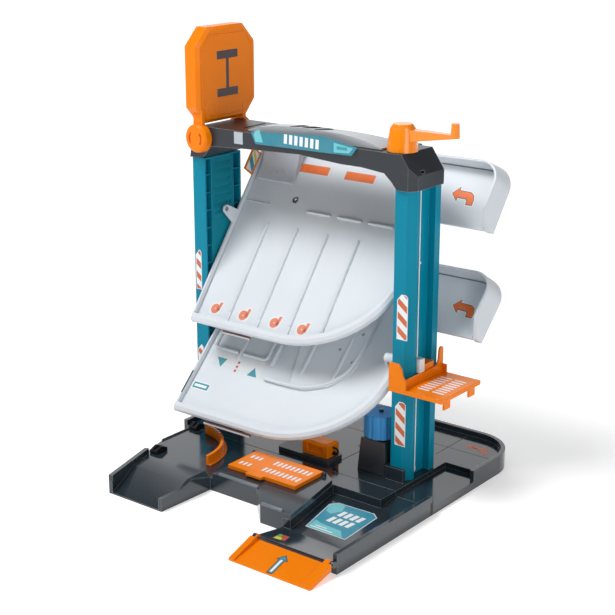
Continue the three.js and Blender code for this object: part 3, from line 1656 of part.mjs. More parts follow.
// Front ramp, hung on two short pins
function frontRamp() {
  const tip = rampAxisY - frontRampLength;
  const left = laneLeft - rampSideGrow;
  const right = baseRight - rampSideGrow;
  const floorHigh = rampAxisHeight - rampFloorDrop;
  const plate = alongX(outline([
    [tip, fit],
    [tip, rampTipHeight],
    [rampAxisY, floorHigh],
    [rampAxisY, floorHigh - rampPlate],
    [tip + 2 * rampPlate, fit],
  ].reverse()), left, right);
  const cheekShape = outline([
    [tip, fit],
    [tip + rampPlate, fit],
    [rampAxisY, rampAxisHeight - rampBarrel],
    [rampAxisY, rampAxisHeight + rampBarrel],
    [tip, rampTipHeight + rampTipCheek],
  ]);
  const cheeks = [[left, left + rampSideLeft], [right - rampSideRight, right]].map(([from, to]) => (
    alongX(cheekShape, from, to).add(barX(rampAxisY, rampAxisHeight, rampBarrel, from, to))));
  const lugRoom = [[left - overrun, laneLeft + lugWidth + fit],
    [baseRight - lugWidth - fit, baseRight + overrun]]
    .map(([from, to]) => box(from, to, rampAxisY - rampBarrel - overrun, frontBaseFront, -overrun,
      2 * floorTop));
  const bore = barX(rampAxisY, rampAxisHeight, rampPinRadius + fit, left - overrun, right + overrun);
  return without(joined([plate, ...cheeks]), [...lugRoom, bore]);
}

function frontRampPin(left, right) {
  return barX(rampAxisY, rampAxisHeight, rampPinRadius, left, right);
}

// Slotted lever plate
function gridPlate() {
  const low = blockTop + plateLift;
  const high = low + plateThickness;
  const sheet = box(plateLeft, plateRight, plateFront, plateBack, blockTop + fit, high);
  const under = box(plateLeft + plateSkirt, plateRight - plateSkirt, plateFront + plateSkirt,
    plateBack - plateSkirt, blockTop - overrun, low);
  const barrel = barX(plateBack, plateAxisZ, plateBarrel, plateLeft, plateRight);
  const tabLeft = plateLeft + plateWidth * plateTabFromLeftShare;
  const tabRight = tabLeft + plateWidth * plateTabWidthShare;
  const tab = alongZ(rectangle(tabLeft, tabRight, plateFront - plateTabReach,
    plateFront + plateSkirt, plateSkirt), low, high);
  const slots = [];
  [0, 1].forEach((row) => {
    const front = plateFront + plateRowGap + row * (plateSlotLength + plateRowGap);
    for (let i = 0; i < plateSlotCount; i += 1) {
      const right = plateRight - plateSlotPitch - i * plateSlotPitch;
      slots.push(box(right - plateSlotWidth, right, front, front + plateSlotLength, blockTop - overrun,
        high + overrun));
    }
    for (let i = 0; i < plateShortCount; i += 1) {
      const left = plateLeft + plateSlotPitch + i * plateSlotPitch;
      slots.push(box(left, left + plateSlotWidth, front, front + plateShortLength, blockTop - overrun,
        high + overrun));
    }
  });
  const bore = barX(plateBack, plateAxisZ, platePinRadius + fit, plateLeft - overrun, plateRight + overrun);
  return without(joined([sheet.subtract(under), barrel, tab]), [...slots, bore]);
}

function gridPlatePin() {
  return barX(plateBack, plateAxisZ, platePinRadius, plateLeft - plateLugWidth + fit,
    plateRight + plateLugWidth - fit);
}

// Curved guard that leads cars round from the entry
function curvedGuard() {
  const y = frontBaseBack - guardCentreForward;
  const low = floorTop + fit;
  const end = THREE.MathUtils.degToRad(guardArcDegrees);
  const wall = alongZ(ringSector(guardX, y, guardRadius - guardThickness, guardRadius, 0, end), low,
    low + guardHeight, bigArcSteps);
  const foot = alongZ(ringSector(guardX, y, guardRadius - guardThickness, guardRadius + guardFoot, 0, end),
    low, low + guardFootHeight, bigArcSteps);
  return wall.add(foot);
}

// Fuel pump on its plinth, with a short hose
const washRight = rightColumnLeft - collarWall - washGapToCollar;
const washLeft = washRight - washWidth;
const washFront = columnFront - washFromColumnFront;
const washTop = floorTop + fit + washHeight;
const rollerX = washLeft + washWidth / 2;
const rollerY = washFront + washDepth / 2;
const plinthLeft = washLeft - plinthGapToWash - plinthWidth;
const plinthFront = rearBaseFront + plinthBehindSeam;
const plinthTop = floorTop + fit + plinthHeight;
const pumpLeft = plinthLeft + pumpFromLeft;
const pumpFront = plinthFront + (plinthDepth - pumpDepth) / 2;
const hoseY = pumpFront + pumpDepth / 2;
const hoseStartX = pumpLeft + pumpWidth + fit;

function pumpPlinth() {
  return alongZ(rectangle(plinthLeft, plinthLeft + plinthWidth, plinthFront, plinthFront + plinthDepth,
    plinthCorner),
    floorTop + fit, plinthTop);
}

function pumpBody() {
  const low = plinthTop + fit;
  const level = (shrink, height) => ({
    points: rectangle(pumpLeft + shrink, pumpLeft + pumpWidth - shrink, pumpFront + shrink,
      pumpFront + pumpDepth - shrink)
      .getPoints(),
    height,
  });
  const body = toSolid(loft([level(0, low), level(0, low + pumpHeight - pumpTaper),
    level(pumpTaper, low + pumpHeight)]));
  const middle = pumpLeft + pumpWidth / 2;
  const windowTop = low + pumpHeight - 2 * pumpTaper;
  const window = box(middle - pumpWindowWidth / 2, middle + pumpWindowWidth / 2, pumpFront - overrun,
    pumpFront + pumpWindowDepth, windowTop - pumpWindowHeight, windowTop);
  return body.subtract(window);
}

function pumpHose() {
  const high = plinthTop + pumpHeight - pumpTaper - hoseRadius - nozzleSize / 2;
  const bend = hoseDrop / 2;
  const turn = halfTurn(hoseStartX + nozzleSize + fit, high - bend, bend, -Math.PI / 2,
    bigArcSteps).reverse();
  const route = [[hoseStartX, high], ...turn];
  return tube(route.map(([x, z]) => [x, hoseY, z]), hoseRadius, cordSides);
}

function pumpNozzle() {
  const z = plinthTop + pumpHeight - pumpTaper - hoseRadius - nozzleSize / 2 - hoseDrop;
  const half = nozzleSize / 2;
  return box(hoseStartX, hoseStartX + nozzleSize, hoseY - half, hoseY + half, z - half, z + half);
}

// Car wash stand and its roller
function washStand() {
  const low = floorTop + fit;
  const level = (shrink, height) => ({
    points: rectangle(washLeft + shrink, washRight - shrink, washFront + shrink,
      washFront + washDepth - shrink).getPoints(),
    height,
  });
  return toSolid(loft([level(0, low), level(washTaper, washTop)]));
}

function washSpindle() {
  const low = washTop + fit;
  return barZ(rollerX, rollerY, spindleFlange, low, low + spindleFlangeHeight)
    .add(barZ(rollerX, rollerY, spindleRadius, low,
      low + spindleFlangeHeight + fit + rollerLength + spindleTop));
}

function washRoller() {
  const low = washTop + fit + spindleFlangeHeight + fit;
  const points = Array.from({ length: 4 * rollerFluteCount }, (_, i) => {
    const turn = (2 * Math.PI * i) / (4 * rollerFluteCount);
    const radius = rollerRadius - rollerFluteDepth * (i % 4 === 0 ? 1 : 0);
    return new THREE.Vector2(rollerX + radius * Math.cos(turn), rollerY + radius * Math.sin(turn));
  });
  const roll = alongZ(new THREE.Shape(points), low, low + rollerLength);
  return roll.subtract(barZ(rollerX, rollerY, spindleRadius + pinFit, low - overrun,
    low + rollerLength + overrun));
}

function washNozzle() {
  const z = floorTop + fit + washHeight / 2;
  const y = washFront + washDepth / 2;
  const lean = washTaper / 2 + fit;
  return barX(y, z, washNozzleRadius, washLeft - lean - washNozzleLength, washLeft + washTaper / 2 - fit);
}

// Latches on the left edge
function latch(left, front, width, length, height) {
  const low = floorTop + fit;
  const middle = front + length / 2;
  const body = alongX(outline([
    [front, low],
    [front + length, low],
    [front + length, low + height / 2, height / 4],
    [middle, low + height, height / 4],
    [front, low + height / 2, height / 4],
  ]), left, left + width);
  return body.subtract(box(left + width / 2 - latchSlot / 2, left + width / 2 + latchSlot / 2,
    front - overrun,
    front + length + overrun, low + height / 2, low + height + overrun));
}

function trayLatch() {
  const [x, y] = leftEdgePoint(entryWallLength + trayLatchBehindWall, entryWallWidth);
  return latch(x, y, trayLatchWidth, trayLatchLength, trayLatchHeight);
}

function seamLatch() {
  const left = frontLeft + lowRimWidth + fit;
  return latch(left, seamBehindOrigin - seamLatchLength / 2, seamLatchWidth, seamLatchLength,
    seamLatchHeight);
}

const upperGroup = new THREE.Group();
upperGroup.position.set(0, upperPivotY, upperPivotZ);
upperGroup.rotation.x = THREE.MathUtils.degToRad(upperTiltDegrees);
model.add(upperGroup);

const lowerGroup = new THREE.Group();
lowerGroup.position.set(0, lowerPivotY, lowerPivotZ);
lowerGroup.rotation.x = THREE.MathUtils.degToRad(lowerTiltDegrees);
model.add(lowerGroup);

place('rear_base', rearBase(), charcoal);
place('front_base', frontBase(), charcoal);
place('left_column', leftColumn(), teal);
place('left_column_panel', leftColumnPanel(), teal);
place('right_column', rightColumn(), teal);
screwSpots.forEach((spot, i) => place(`column_screw_${i + 1}`, columnScrew(spot), steel));
place('top_beam', topBeam(), charcoal);
place('roof_cover', roofCover(), midGrey);
place('sign_panel', signPanel(), teal);
place('helipad', helipad(), orange);
place('helipad_letter', helipadLetter(), black);
place('helipad_pin', helipadPin(), charcoal);
place('crank', crank(), orange);
place('winch_drum', winchDrum(), midGrey);
place('lower_pulley', lowerPulley(), white);
place('pulley_pin', pulleyPin(), steel);
place('lift_cord', liftCord(), white);
place('lift_platform', liftPlatform(), orange);
place('lift_runner', liftRunner(), orange);
place('cord_clip', cordClip(), white);
place('upper_deck', upperDeck(), deckGrey, upperGroup);
place('deck_ramp', deckRamp(), midGrey, upperGroup);
place('ramp_sign', rampSign(), orange, upperGroup);
place('lower_deck', lowerDeck(), deckGrey, lowerGroup);
place('upper_deck_pin_left', leftDeckPin(upperPivotY, upperPivotZ), steel);
place('upper_deck_pin_right', rightDeckPin(upperPivotY, upperPivotZ), steel);
place('lower_deck_pin_left', leftDeckPin(lowerPivotY, lowerPivotZ), steel);
place('lower_deck_pin_right', rightDeckPin(lowerPivotY, lowerPivotZ), steel);
place('front_ramp', frontRamp(), orange);
place('front_ramp_pin_left', frontRampPin(laneLeft + overrun + fit, laneLeft + rampSideLeft), steel);
place('front_ramp_pin_right', frontRampPin(baseRight - rampSideRight, baseRight - overrun - fit), steel);
place('grid_plate', gridPlate(), orange);
place('grid_plate_pin', gridPlatePin(), steel);
place('curved_guard', curvedGuard(), orange);
place('pump_plinth', pumpPlinth(), black);
place('pump_body', pumpBody(), orange);
place('pump_hose', pumpHose(), black);
place('pump_nozzle', pumpNozzle(), black);
place('wash_stand', washStand(), charcoal);
place('wash_spindle', washSpindle(), midGrey);
place('wash_roller', washRoller(), blue);
place('wash_nozzle', washNozzle(), midGrey);
place('tray_latch', trayLatch(), midGrey);
place('seam_latch', seamLatch(), black);

export default model;
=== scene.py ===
# Toy parking garage with a hand-cranked lift, dressed over its moulded parts.
# Metres. The front of the garage faces -Y, the lift stands on the right, and Z is up.
import math

import bmesh
import bpy
from mathutils import Matrix, Vector
from mathutils.bvhtree import BVHTree


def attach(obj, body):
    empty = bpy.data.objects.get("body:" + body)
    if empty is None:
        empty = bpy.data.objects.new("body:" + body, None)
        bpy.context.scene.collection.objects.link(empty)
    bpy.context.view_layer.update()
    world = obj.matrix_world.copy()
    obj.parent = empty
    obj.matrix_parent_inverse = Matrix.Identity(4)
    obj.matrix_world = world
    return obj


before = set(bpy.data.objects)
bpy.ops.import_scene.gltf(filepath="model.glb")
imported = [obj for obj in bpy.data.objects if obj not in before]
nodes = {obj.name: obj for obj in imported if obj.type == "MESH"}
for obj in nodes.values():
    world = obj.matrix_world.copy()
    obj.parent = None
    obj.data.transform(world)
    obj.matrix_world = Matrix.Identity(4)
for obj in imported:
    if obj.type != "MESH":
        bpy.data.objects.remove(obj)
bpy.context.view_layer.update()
scene = bpy.context.scene


# Camera
# A long lens from the front right and a little above, as a catalogue photographer
# stands it, so that both decks and the lift show at once.
looks_down, looks_left = 17.33, 38.06
camera_data = bpy.data.cameras.new("catalogue_camera")
camera_data.lens = 83.1
camera_data.sensor_width = 36
camera = bpy.data.objects.new("catalogue_camera", camera_data)
camera.location = (1.100, -1.3754, 0.7882)
camera.rotation_euler = (math.radians(90 - looks_down), 0, math.radians(looks_left))
scene.collection.objects.link(camera)
scene.camera = camera
scene.view_settings.view_transform = "Standard"


# Base trays
# Two trays injection-moulded in glossy charcoal plastic, which meet at a seam across the
# toy. Their rims carry a painted highlight, and hands leave faint scuffs on the flats.
def hue(red, green, blue):
    """A colour as it is seen, from 0 to 255, made linear for the shader."""
    return tuple(((c / 255 + 0.055) / 1.055) ** 2.4 if c > 10 else c / 255 / 12.92
                 for c in (red, green, blue)) + (1,)


class Link:
    """An output of a shader node. Sums on it add Math nodes, and node() adds any other node."""

    def __init__(self, socket):
        self.socket = socket

    @staticmethod
    def node(tree, kind, settings=None, inputs=None, out=0):
        made = tree.nodes.new(kind)
        for key, value in (settings or {}).items():
            setattr(made, key, value)
        for key, value in (inputs or {}).items():
            if isinstance(value, Link):
                tree.links.new(value.socket, made.inputs[key])
            else:
                made.inputs[key].default_value = value
        return Link(made.outputs[out])

    def maths(self, operation, *terms):
        return Link.node(self.socket.id_data, "ShaderNodeMath", {"operation": operation},
                         dict(enumerate(terms)))

    def __add__(self, other):
        return self.maths("ADD", self, other)

    def __sub__(self, other):
        return self.maths("SUBTRACT", self, other)

    def __rsub__(self, other):
        return self.maths("SUBTRACT", other, self)

    def __mul__(self, other):
        return self.maths("MULTIPLY", self, other)

    def held(self):
        """The number kept between 0 and 1."""
        return self.maths("MINIMUM", self.maths("MAXIMUM", self, 0.0), 1.0)

    def above(self, level, softness):
        """0 below the level and 1 above it, with a soft step between."""
        return ((self - (level - softness)) * (0.5 / softness)).held()

    def into(self, surface, socket):
        """Feeds one of a surface's sockets."""
        self.socket.id_data.links.new(self.socket, surface.inputs[socket])

    __radd__ = __add__
    __rmul__ = __mul__


def new_finish(name):
    """An empty finish: the material, its nodes, its surface, and the place on the piece."""
    material = bpy.data.materials.new(name)
    material.use_nodes = True
    tree = material.node_tree
    place = Link.node(tree, "ShaderNodeTexCoord", out="Object")
    return material, tree, tree.nodes["Principled BSDF"], place


def noise(place, repeats, detail):
    """Soft random patches, about so many to the metre."""
    return Link.node(place.socket.id_data, "ShaderNodeTexNoise", {},
                     {"Vector": place, "Scale": repeats, "Detail": detail})


def tinted(share, low, high):
    """The low colour where the share is 0, and the high colour where it is 1."""
    return Link.node(share.socket.id_data, "ShaderNodeMix", {"data_type": "RGBA"},
                     {0: share, 6: low, 7: high}, out=2)


def paler(colour, share):
    return tuple(c + (1 - c) * share for c in colour[:3]) + (1,)


def dimmer(colour, share):
    return tuple(c * share for c in colour[:3]) + (1,)


cloud_repeats, grain_repeats = 16.0, 2600.0
scuff_turn, scuff_repeats = (0.3, 0.2, 0.6), (60.0, 900.0, 500.0)
grain_depth = 0.00008
edge_highlight_gain = 5.0
plastic_ior = 1.52
coat_roughness = 0.08


def moulded(name, colour, roughness, cloud=0.05, grain=0.25, edge=0.0006, edge_light=0.22,
            scuff=0.10, coat=0.0, shine=0.5):
    """Injection-moulded plastic: its colour drifts a little, its edges are rounded and painted
    pale as a highlight, and its skin has a fine grain and faint scuffs."""
    material, tree, surface, place = new_finish(name)
    drift = noise(place, cloud_repeats, 4.0)
    skin = noise(place, grain_repeats, 2.0)
    combed = Link.node(tree, "ShaderNodeMapping", {},
                       {"Vector": place, "Rotation": scuff_turn, "Scale": scuff_repeats})
    marks = noise(combed, 1.0, 4.0)
    rounded = Link.node(tree, "ShaderNodeBevel", {"samples": 6}, {"Radius": edge})
    flat = Link.node(tree, "ShaderNodeNewGeometry", out="True Normal")
    alike = Link.node(tree, "ShaderNodeVectorMath", {"operation": "DOT_PRODUCT"},
                      {0: rounded, 1: flat}, out="Value")
    # Painted highlight: edges turn paler where the rounded normal turns away from the true one.
    edge_highlight_mask = ((1 - alike) * edge_highlight_gain * (drift + 0.35)).held()
    scuffed = marks.above(0.66, 0.05)
    lighter = tuple(min(1.0, c * (1 + cloud * 1.6) + cloud * 0.012) for c in colour[:3]) + (1,)
    body = tinted(drift, dimmer(colour, 1 - cloud * 2.2), lighter)
    # The colour mixes the painted edge highlight with real scuffs.
    highlit_and_scuffed = tinted(edge_highlight_mask * edge_light + scuffed * (scuff * 0.15), body, paler(colour, 0.35))
    highlit_and_scuffed.into(surface, "Base Color")
    dull = roughness + (drift - 0.5) * 0.10 + scuffed * scuff - edge_highlight_mask * 0.06
    dull.into(surface, "Roughness")
    bump = Link.node(tree, "ShaderNodeBump", {}, {
        "Strength": grain, "Distance": grain_depth, "Height": skin + marks * 0.15,
        "Normal": rounded})
    bump.into(surface, "Normal")
    surface.inputs["IOR"].default_value = plastic_ior
    surface.inputs["Specular IOR Level"].default_value = shine
    surface.inputs["Coat Weight"].default_value = coat
    surface.inputs["Coat Roughness"].default_value = coat_roughness
    return material


weld = 0.00001
sharpest_round = math.radians(32)
smooth_round = bpy.data.node_groups.new("smooth_round", "GeometryNodeTree")
for way in ("INPUT", "OUTPUT"):
    smooth_round.interface.new_socket("Geometry", in_out=way, socket_type="NodeSocketGeometry")
round_in = smooth_round.nodes.new("NodeGroupInput")
round_out = smooth_round.nodes.new("NodeGroupOutput")
merged = Link.node(smooth_round, "GeometryNodeMergeByDistance", {},
                   {"Geometry": Link(round_in.outputs[0]), "Distance": weld})
all_smooth = Link.node(smooth_round, "GeometryNodeSetShadeSmooth", {"domain": "FACE"},
                       {"Geometry": merged})
corner_turn = Link.node(smooth_round, "GeometryNodeInputMeshEdgeAngle")
gentle = Link.node(smooth_round, "FunctionNodeCompare",
                   {"data_type": "FLOAT", "operation": "LESS_THAN"},
                   {0: corner_turn, 1: sharpest_round})
eased = Link.node(smooth_round, "GeometryNodeSetShadeSmooth", {"domain": "EDGE"},
                  {"Geometry": all_smooth, "Shade Smooth": gentle})
smooth_round.links.new(eased.socket, round_out.inputs[0])


def dress(material, *names):
    """Gives moulded parts their finish, and shades their round faces as round."""
    for name in names:
        part = nodes[name]
        part.data.materials.clear()
        part.data.materials.append(material)
        part.modifiers.new("smooth_round", "NODES").node_group = smooth_round
        part.modifiers.new("weighted", "WEIGHTED_NORMAL").keep_sharp = True


# The strong edge_light paints the trays' rims paler, as a highlight.
charcoal = moulded("tray_charcoal", hue(38, 49, 57), 0.13, cloud=0.04, grain=0.12, edge=0.0009,
                   edge_light=0.75, coat=0.25)
dress(charcoal, "rear_base", "front_base")


# Prints on the trays
# Self-adhesive sheets and pad-printed marks: a large blue-green sheet in the sunk lane, a small
# one at its mouth, and an orange arrow and fine lines on the rear tray. A near-black strip at
# the seam between the trays is painted shade in the gap there. Their outlines are in millimetres.
mm = 0.001
sheet_lift = 0.03
sheet_thick = 0.12
ink_thick = 0.05


def plane(origin, right, up):
    """The place of a flat face: millimetres across, up and out of it become metres in the toy."""
    right, up = Vector(right), Vector(up)
    turn = Matrix((right, up, right.cross(up))).transposed().to_4x4()
    return Matrix.Translation(Vector(origin) * mm) @ turn @ Matrix.Scale(mm, 4)


def lying(height):
    return plane((0, 0, height), (1, 0, 0), (0, 1, 0))


def facing_front(y):
    return plane((0, y, 0), (1, 0, 0), (0, 0, 1))


def sloping(origin, angle):
    """A plane that rises towards the back by the angle, in radians."""
    return plane(origin, (1, 0, 0), (0, math.cos(angle), math.sin(angle)))


def inked(name, colour, roughness=0.36):
    """Printed film: ink that lies a little unevenly, under a satin skin."""
    material, tree, surface, place = new_finish(name)
    pools = noise(place, 55.0, 3.0)
    specks = noise(place, 1900.0, 1.0)
    ink = tinted(pools * 0.8 + specks * 0.2, dimmer(colour, 0.90), paler(colour, 0.10))
    ink.into(surface, "Base Color")
    (roughness + (pools - 0.5) * 0.12).into(surface, "Roughness")
    bump = Link.node(tree, "ShaderNodeBump", {},
                     {"Strength": 0.2, "Distance": 0.00004, "Height": specks})
    bump.into(surface, "Normal")
    surface.inputs["Specular IOR Level"].default_value = 0.2
    return material


def finish_piece(name, shape, place, body, materials, smooth=False):
    """Turns a closed shape into a piece of the toy, which rides on a body."""
    bmesh.ops.recalc_face_normals(shape, faces=shape.faces)
    bmesh.ops.transform(shape, matrix=place, verts=shape.verts)
    mesh = bpy.data.meshes.new(name)
    for material in materials:
        mesh.materials.append(material)
    shape.to_mesh(mesh)
    shape.free()
    for polygon in mesh.polygons:
        polygon.use_smooth = smooth
    piece = bpy.data.objects.new(name, mesh)
    scene.collection.objects.link(piece)
    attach(piece, body)


def thicken(shape, faces, reach):
    """Gives flat faces a thickness, by pushing a copy of them out."""
    made = bmesh.ops.extrude_face_region(shape, geom=faces, use_keep_orig=True)
    top = [v for v in made["geom"] if isinstance(v, bmesh.types.BMVert)]
    bmesh.ops.translate(shape, vec=reach, verts=top)


def sheet(name, body, place, layers, lift=sheet_lift):
    """A thin sheet, with each layer's outlines lying on the layer before."""
    shape = bmesh.new()
    materials = []
    low = lift
    for outlines, material, thick in layers:
        if material not in materials:
            materials.append(material)
        for outline in outlines:
            face = shape.faces.new([shape.verts.new((x, y, low)) for x, y in outline])
            face.material_index = materials.index(material)
            thicken(shape, [face], (0, 0, thick))
        low += thick
    finish_piece(name, shape, place, body, materials)


def grown(outline, by):
    """The outline moved outwards by that many millimetres."""
    area = sum(a[0] * b[1] - b[0] * a[1] for a, b in zip(outline, outline[1:] + outline[:1]))
    side = by if area > 0 else -by
    wider = []
    for before, here, after in zip(outline[-1:] + outline[:-1], outline,
                                   outline[1:] + outline[:1]):
        a = (Vector(here) - Vector(before)).normalized()
        b = (Vector(after) - Vector(here)).normalized()
        out_a, out_b = Vector((a.y, -a.x)), Vector((b.y, -b.x))
        bisector = (out_a + out_b).normalized()
        reach = side / max(0.5, bisector.dot(out_a))
        wider.append(tuple(Vector(here) + bisector * reach))
    return wider


def bar(left, low, right, high, slant=0.0):
    """A bar, its top pushed sideways by the slant."""
    return [(left, low), (right, low), (right + slant, high), (left + slant, high)]


def moved(outline, x, y, turn=0.0, size=1.0):
    """The outline carried to a place, turned by degrees and made larger."""
    c, s = math.cos(math.radians(turn)) * size, math.sin(math.radians(turn)) * size
    return [(x + px * c - py * s, y + px * s + py * c) for px, py in outline]


bent_arrow = [(0, 8), (8.5, -1), (8.5, 3.5), (22, 3), (24.5, 0.5), (24.5, -4.5), (33, -4.5),
              (33, 3), (31, 9), (26, 12.5), (8.5, 13), (8.5, 17.5)]
lane_blue = inked("lane_print_blue", hue(0, 142, 170))
lane_pale = inked("lane_print_pale", hue(104, 198, 208))
print_white = inked("print_white", hue(240, 244, 246))
print_orange = inked("print_orange", hue(246, 112, 10))
print_salmon = inked("print_salmon", hue(232, 132, 98))
print_yellow = inked("print_yellow", hue(222, 216, 60))
print_green = inked("print_green", hue(120, 176, 60))
print_red = inked("print_red", hue(206, 62, 48))
print_teal = inked("print_teal", hue(40, 150, 165))
print_dark = inked("print_dark", hue(40, 44, 48))
seam_black = inked("seam_black", hue(12, 14, 16), 0.6)

lane_floor, mouth_floor, rear_floor = 6, 14, 18
lane_outline = [(113, -119), (174, -119), (170, -46), (160, -38), (106, -40), (98, -50)]
lane_patches = [[(112, -96), (114.5, -117.5), (168, -117.5), (156, -103), (124, -101)],
                [(99.5, -51), (107, -42), (118, -42), (124, -58), (116, -72), (106, -68)]]
lane_bay, bay_step, bay_row = bar(-3.1, -7.5, 3.1, 7.5), 9.4, 20
lane_bays = [moved(lane_bay, 127 + bay_step * i + 2 * row, -84 + bay_row * row, -5)
             for row in (0, 1) for i in range(4)]
lane_lines = [bar(116, -114.5, 150, -112.5, 1), bar(120, -109.5, 138, -107.9, 1)]
sheet("lane_sheet", "garage_frame", lying(lane_floor), [
    ([lane_outline], print_white, sheet_thick),
    ([grown(lane_outline, -1.1)], lane_blue, ink_thick),
    (lane_patches, lane_pale, ink_thick),
    (lane_bays + lane_lines, print_white, ink_thick),
])
mouth_slope = math.atan2(8, 45)
sheet("lane_mouth_sheet", "garage_frame",
      sloping((0, -187, mouth_floor), -mouth_slope), [
          ([[(109, 8), (127, 10), (121, 29), (105, 28)]], print_dark, sheet_thick),
          ([[(110, 9), (120.5, 10), (117.5, 19), (108, 18)]], print_yellow, ink_thick),
          ([[(107.8, 19), (114, 19.6), (112, 27.4), (106.2, 27)]], print_green, ink_thick),
          ([[(115.2, 19.8), (121.2, 11), (125.8, 11), (120.2, 27.8), (113.2, 27.4)]],
           print_red, ink_thick),
      ])
arrow_place, arrow_size = (148, 189), 1.15
arrow_slots = [bar(9.5, 5.6, 21, 7.0), bar(27.6, -3, 29.4, 3)]
sheet("rear_tray_arrow", "garage_frame", lying(rear_floor), [
    ([moved(bent_arrow, *arrow_place, 0, arrow_size)], print_salmon, ink_thick),
    ([moved(slot, *arrow_place, 0, arrow_size) for slot in arrow_slots], charcoal, ink_thick),
])
sheet("tray_lines", "garage_frame", lying(rear_floor), [
    ([bar(41, 33, 43, 94, 2), bar(108, 176, 208, 177.2), bar(131, 146, 132.2, 229),
      bar(-40, 150, 60, 151.2), bar(-160, 150, -60, 151.2), bar(10, 160, 11.2, 222),
      bar(-60, 160, -58.8, 222)], print_dark, ink_thick),
])
tray_side = 213
# Painted shade: a near-black strip standing for the dark gap between the trays.
sheet("seam_shade", "garage_frame",
      plane((tray_side, 0, 0), (0, 1, 0), (0, 0, 1)), [
          ([bar(9.9, 0.4, 15.3, 17.6)], seam_black, ink_thick),
      ])


# Columns
# Two hollow posts in blue-green plastic, the left one a ribbed frame with a louvred panel
# and the right one a channel that guides the lift. Screws hold them to the base, and
# orange and white stripes are stuck on their fronts.
teal = moulded("column_teal", hue(0, 134, 162), 0.36, cloud=0.04, edge=0.0008, scuff=0.06,
               shine=0.12)
panel_teal = moulded("panel_teal", hue(0, 128, 148), 0.40, edge_light=0.2, shine=0.15)
steel = moulded("screw_steel", hue(170, 172, 175), 0.32, cloud=0.03, grain=0.4, edge=0.0003,
                edge_light=0.3)
steel.node_tree.nodes["Principled BSDF"].inputs["Metallic"].default_value = 1.0
dress(teal, "left_column", "right_column")
dress(panel_teal, "left_column_panel")
dress(steel, "column_screw_1", "column_screw_2", "column_screw_3", "column_screw_4")


def striped(outline, pitch, share, slope, start):
    """The bars left of an outline when it is cut by slanting lines."""
    shape = bmesh.new()
    shape.faces.new([shape.verts.new((x, y, 0)) for x, y in outline])
    across = Vector((-slope, 1, 0)).normalized()
    far = max(across.dot(v.co) for v in shape.verts)
    step = start
    while step < far:
        for line in (step, step + pitch * share):
            bmesh.ops.bisect_plane(shape, geom=shape.verts[:] + shape.edges[:] + shape.faces[:],
                                   plane_co=across * line, plane_no=across, dist=1e-5)
        step += pitch
    bars = [[tuple(v.co.xy) for v in face.verts] for face in shape.faces
            if (across.dot(face.calc_center_median()) - start) % pitch < pitch * share]
    shape.free()
    return bars


stripe_orange = inked("stripe_orange", hue(210, 100, 38))
column_front = 43
stripe_pitch, stripe_share, stripe_slope, stripe_start = 14.6, 0.48, -0.8, -400


def hazard_sheet(name, left, low, width, height, cut=8):
    """A striped sheet on a column's front, with its upper left corner cut off."""
    right, top = left + width, low + height
    outline = [(left, low), (right, low), (right, top - 3), (right - 3, top),
               (left + cut * 0.8, top), (left, top - cut)]
    stripes = striped(grown(outline, -1.1), stripe_pitch, stripe_share, stripe_slope,
                      stripe_start)
    sheet(name, "garage_frame", facing_front(column_front), [
        ([outline], print_white, sheet_thick),
        (stripes, stripe_orange, ink_thick),
    ])


hazard_sheet("left_stripes_high", -209.4, 216, 10.4, 58)
hazard_sheet("left_stripes_low", -209.4, 76, 10.4, 58)
hazard_sheet("right_stripes_high", 133.3, 212, 16.4, 60)
hazard_sheet("right_stripes_low", 133.3, 67, 16.4, 61)


# Top beam
# A charcoal beam that caps both columns. It carries a grey arched cover with thin dark ribs, a
# printed blue-green front plate and the blocks that hold the crank and the landing pad's hinge.
beam_charcoal = moulded("beam_charcoal", hue(42, 47, 53), 0.30, edge=0.0012, edge_light=0.9,
                        shine=0.35)
cover_grey = moulded("cover_grey", hue(176, 181, 186), 0.30, edge=0.0008, edge_light=0.3)
rib_black = moulded("rib_black", hue(28, 30, 33), 0.45, edge=0.0004, shine=0.15)
dress(beam_charcoal, "top_beam")
dress(cover_grey, "roof_cover")
dress(inked("front_plate_blue", hue(0, 130, 152), 0.30), "sign_panel")
plate_front, beam_front = 37, 40
road_mark, road_step = bar(-2.6, -6.2, 2.6, 6.2), 8.6
road = [moved(road_mark, -42 + road_step * i, 449.6 - 0.2 * i, -3) for i in range(7)]
plate_patches = [[(-96, 450), (-93, 440), (-80, 440.5), (-86, 457), (-92, 455)],
                 [(36, 441.5), (60, 443), (66, 450), (36, 454)]]
sheet("front_plate_prints", "garage_frame", facing_front(plate_front), [
    (plate_patches, lane_pale, ink_thick),
    (road, print_white, ink_thick),
    ([bar(41, 446, 57, 450)], print_teal, ink_thick),
])
sheet("beam_tab", "garage_frame", facing_front(beam_front), [
    ([bar(-132, 433, -117, 449)], inked("tab_grey", hue(178, 188, 196)), 0.8),
])


def faces_of(name):
    """A part's faces, for laying a strip or a rib on them."""
    part = nodes[name].data
    return BVHTree.FromPolygons([v.co[:] for v in part.vertices],
                                [p.vertices[:] for p in part.polygons])


down = Vector((0, 0, -1))
# Painted shade: a thin black strip laid on the beam's top, standing for a groove there.
groove_width, groove_thick, groove_sink = 3.0, 0.4, 0.04
beam_faces = faces_of("top_beam")
groove = bmesh.new()
groove_rows = []
for step in range(8):
    row = [Vector((-136 + side * groove_width / 2, 66 + 6 * step, 515)) for side in (1, -1)]
    groove_rows.append([groove.verts.new(beam_faces.ray_cast(start * mm, down)[0] / mm
                                         + Vector((0, 0, groove_sink))) for start in row])
for near, far in zip(groove_rows, groove_rows[1:]):
    groove.faces.new((near[0], near[1], far[1], far[0]))
thicken(groove, groove.faces[:], (0, 0, groove_thick))
finish_piece("beam_groove_shade", groove, Matrix.Scale(mm, 4), "garage_frame",
             [rib_black])


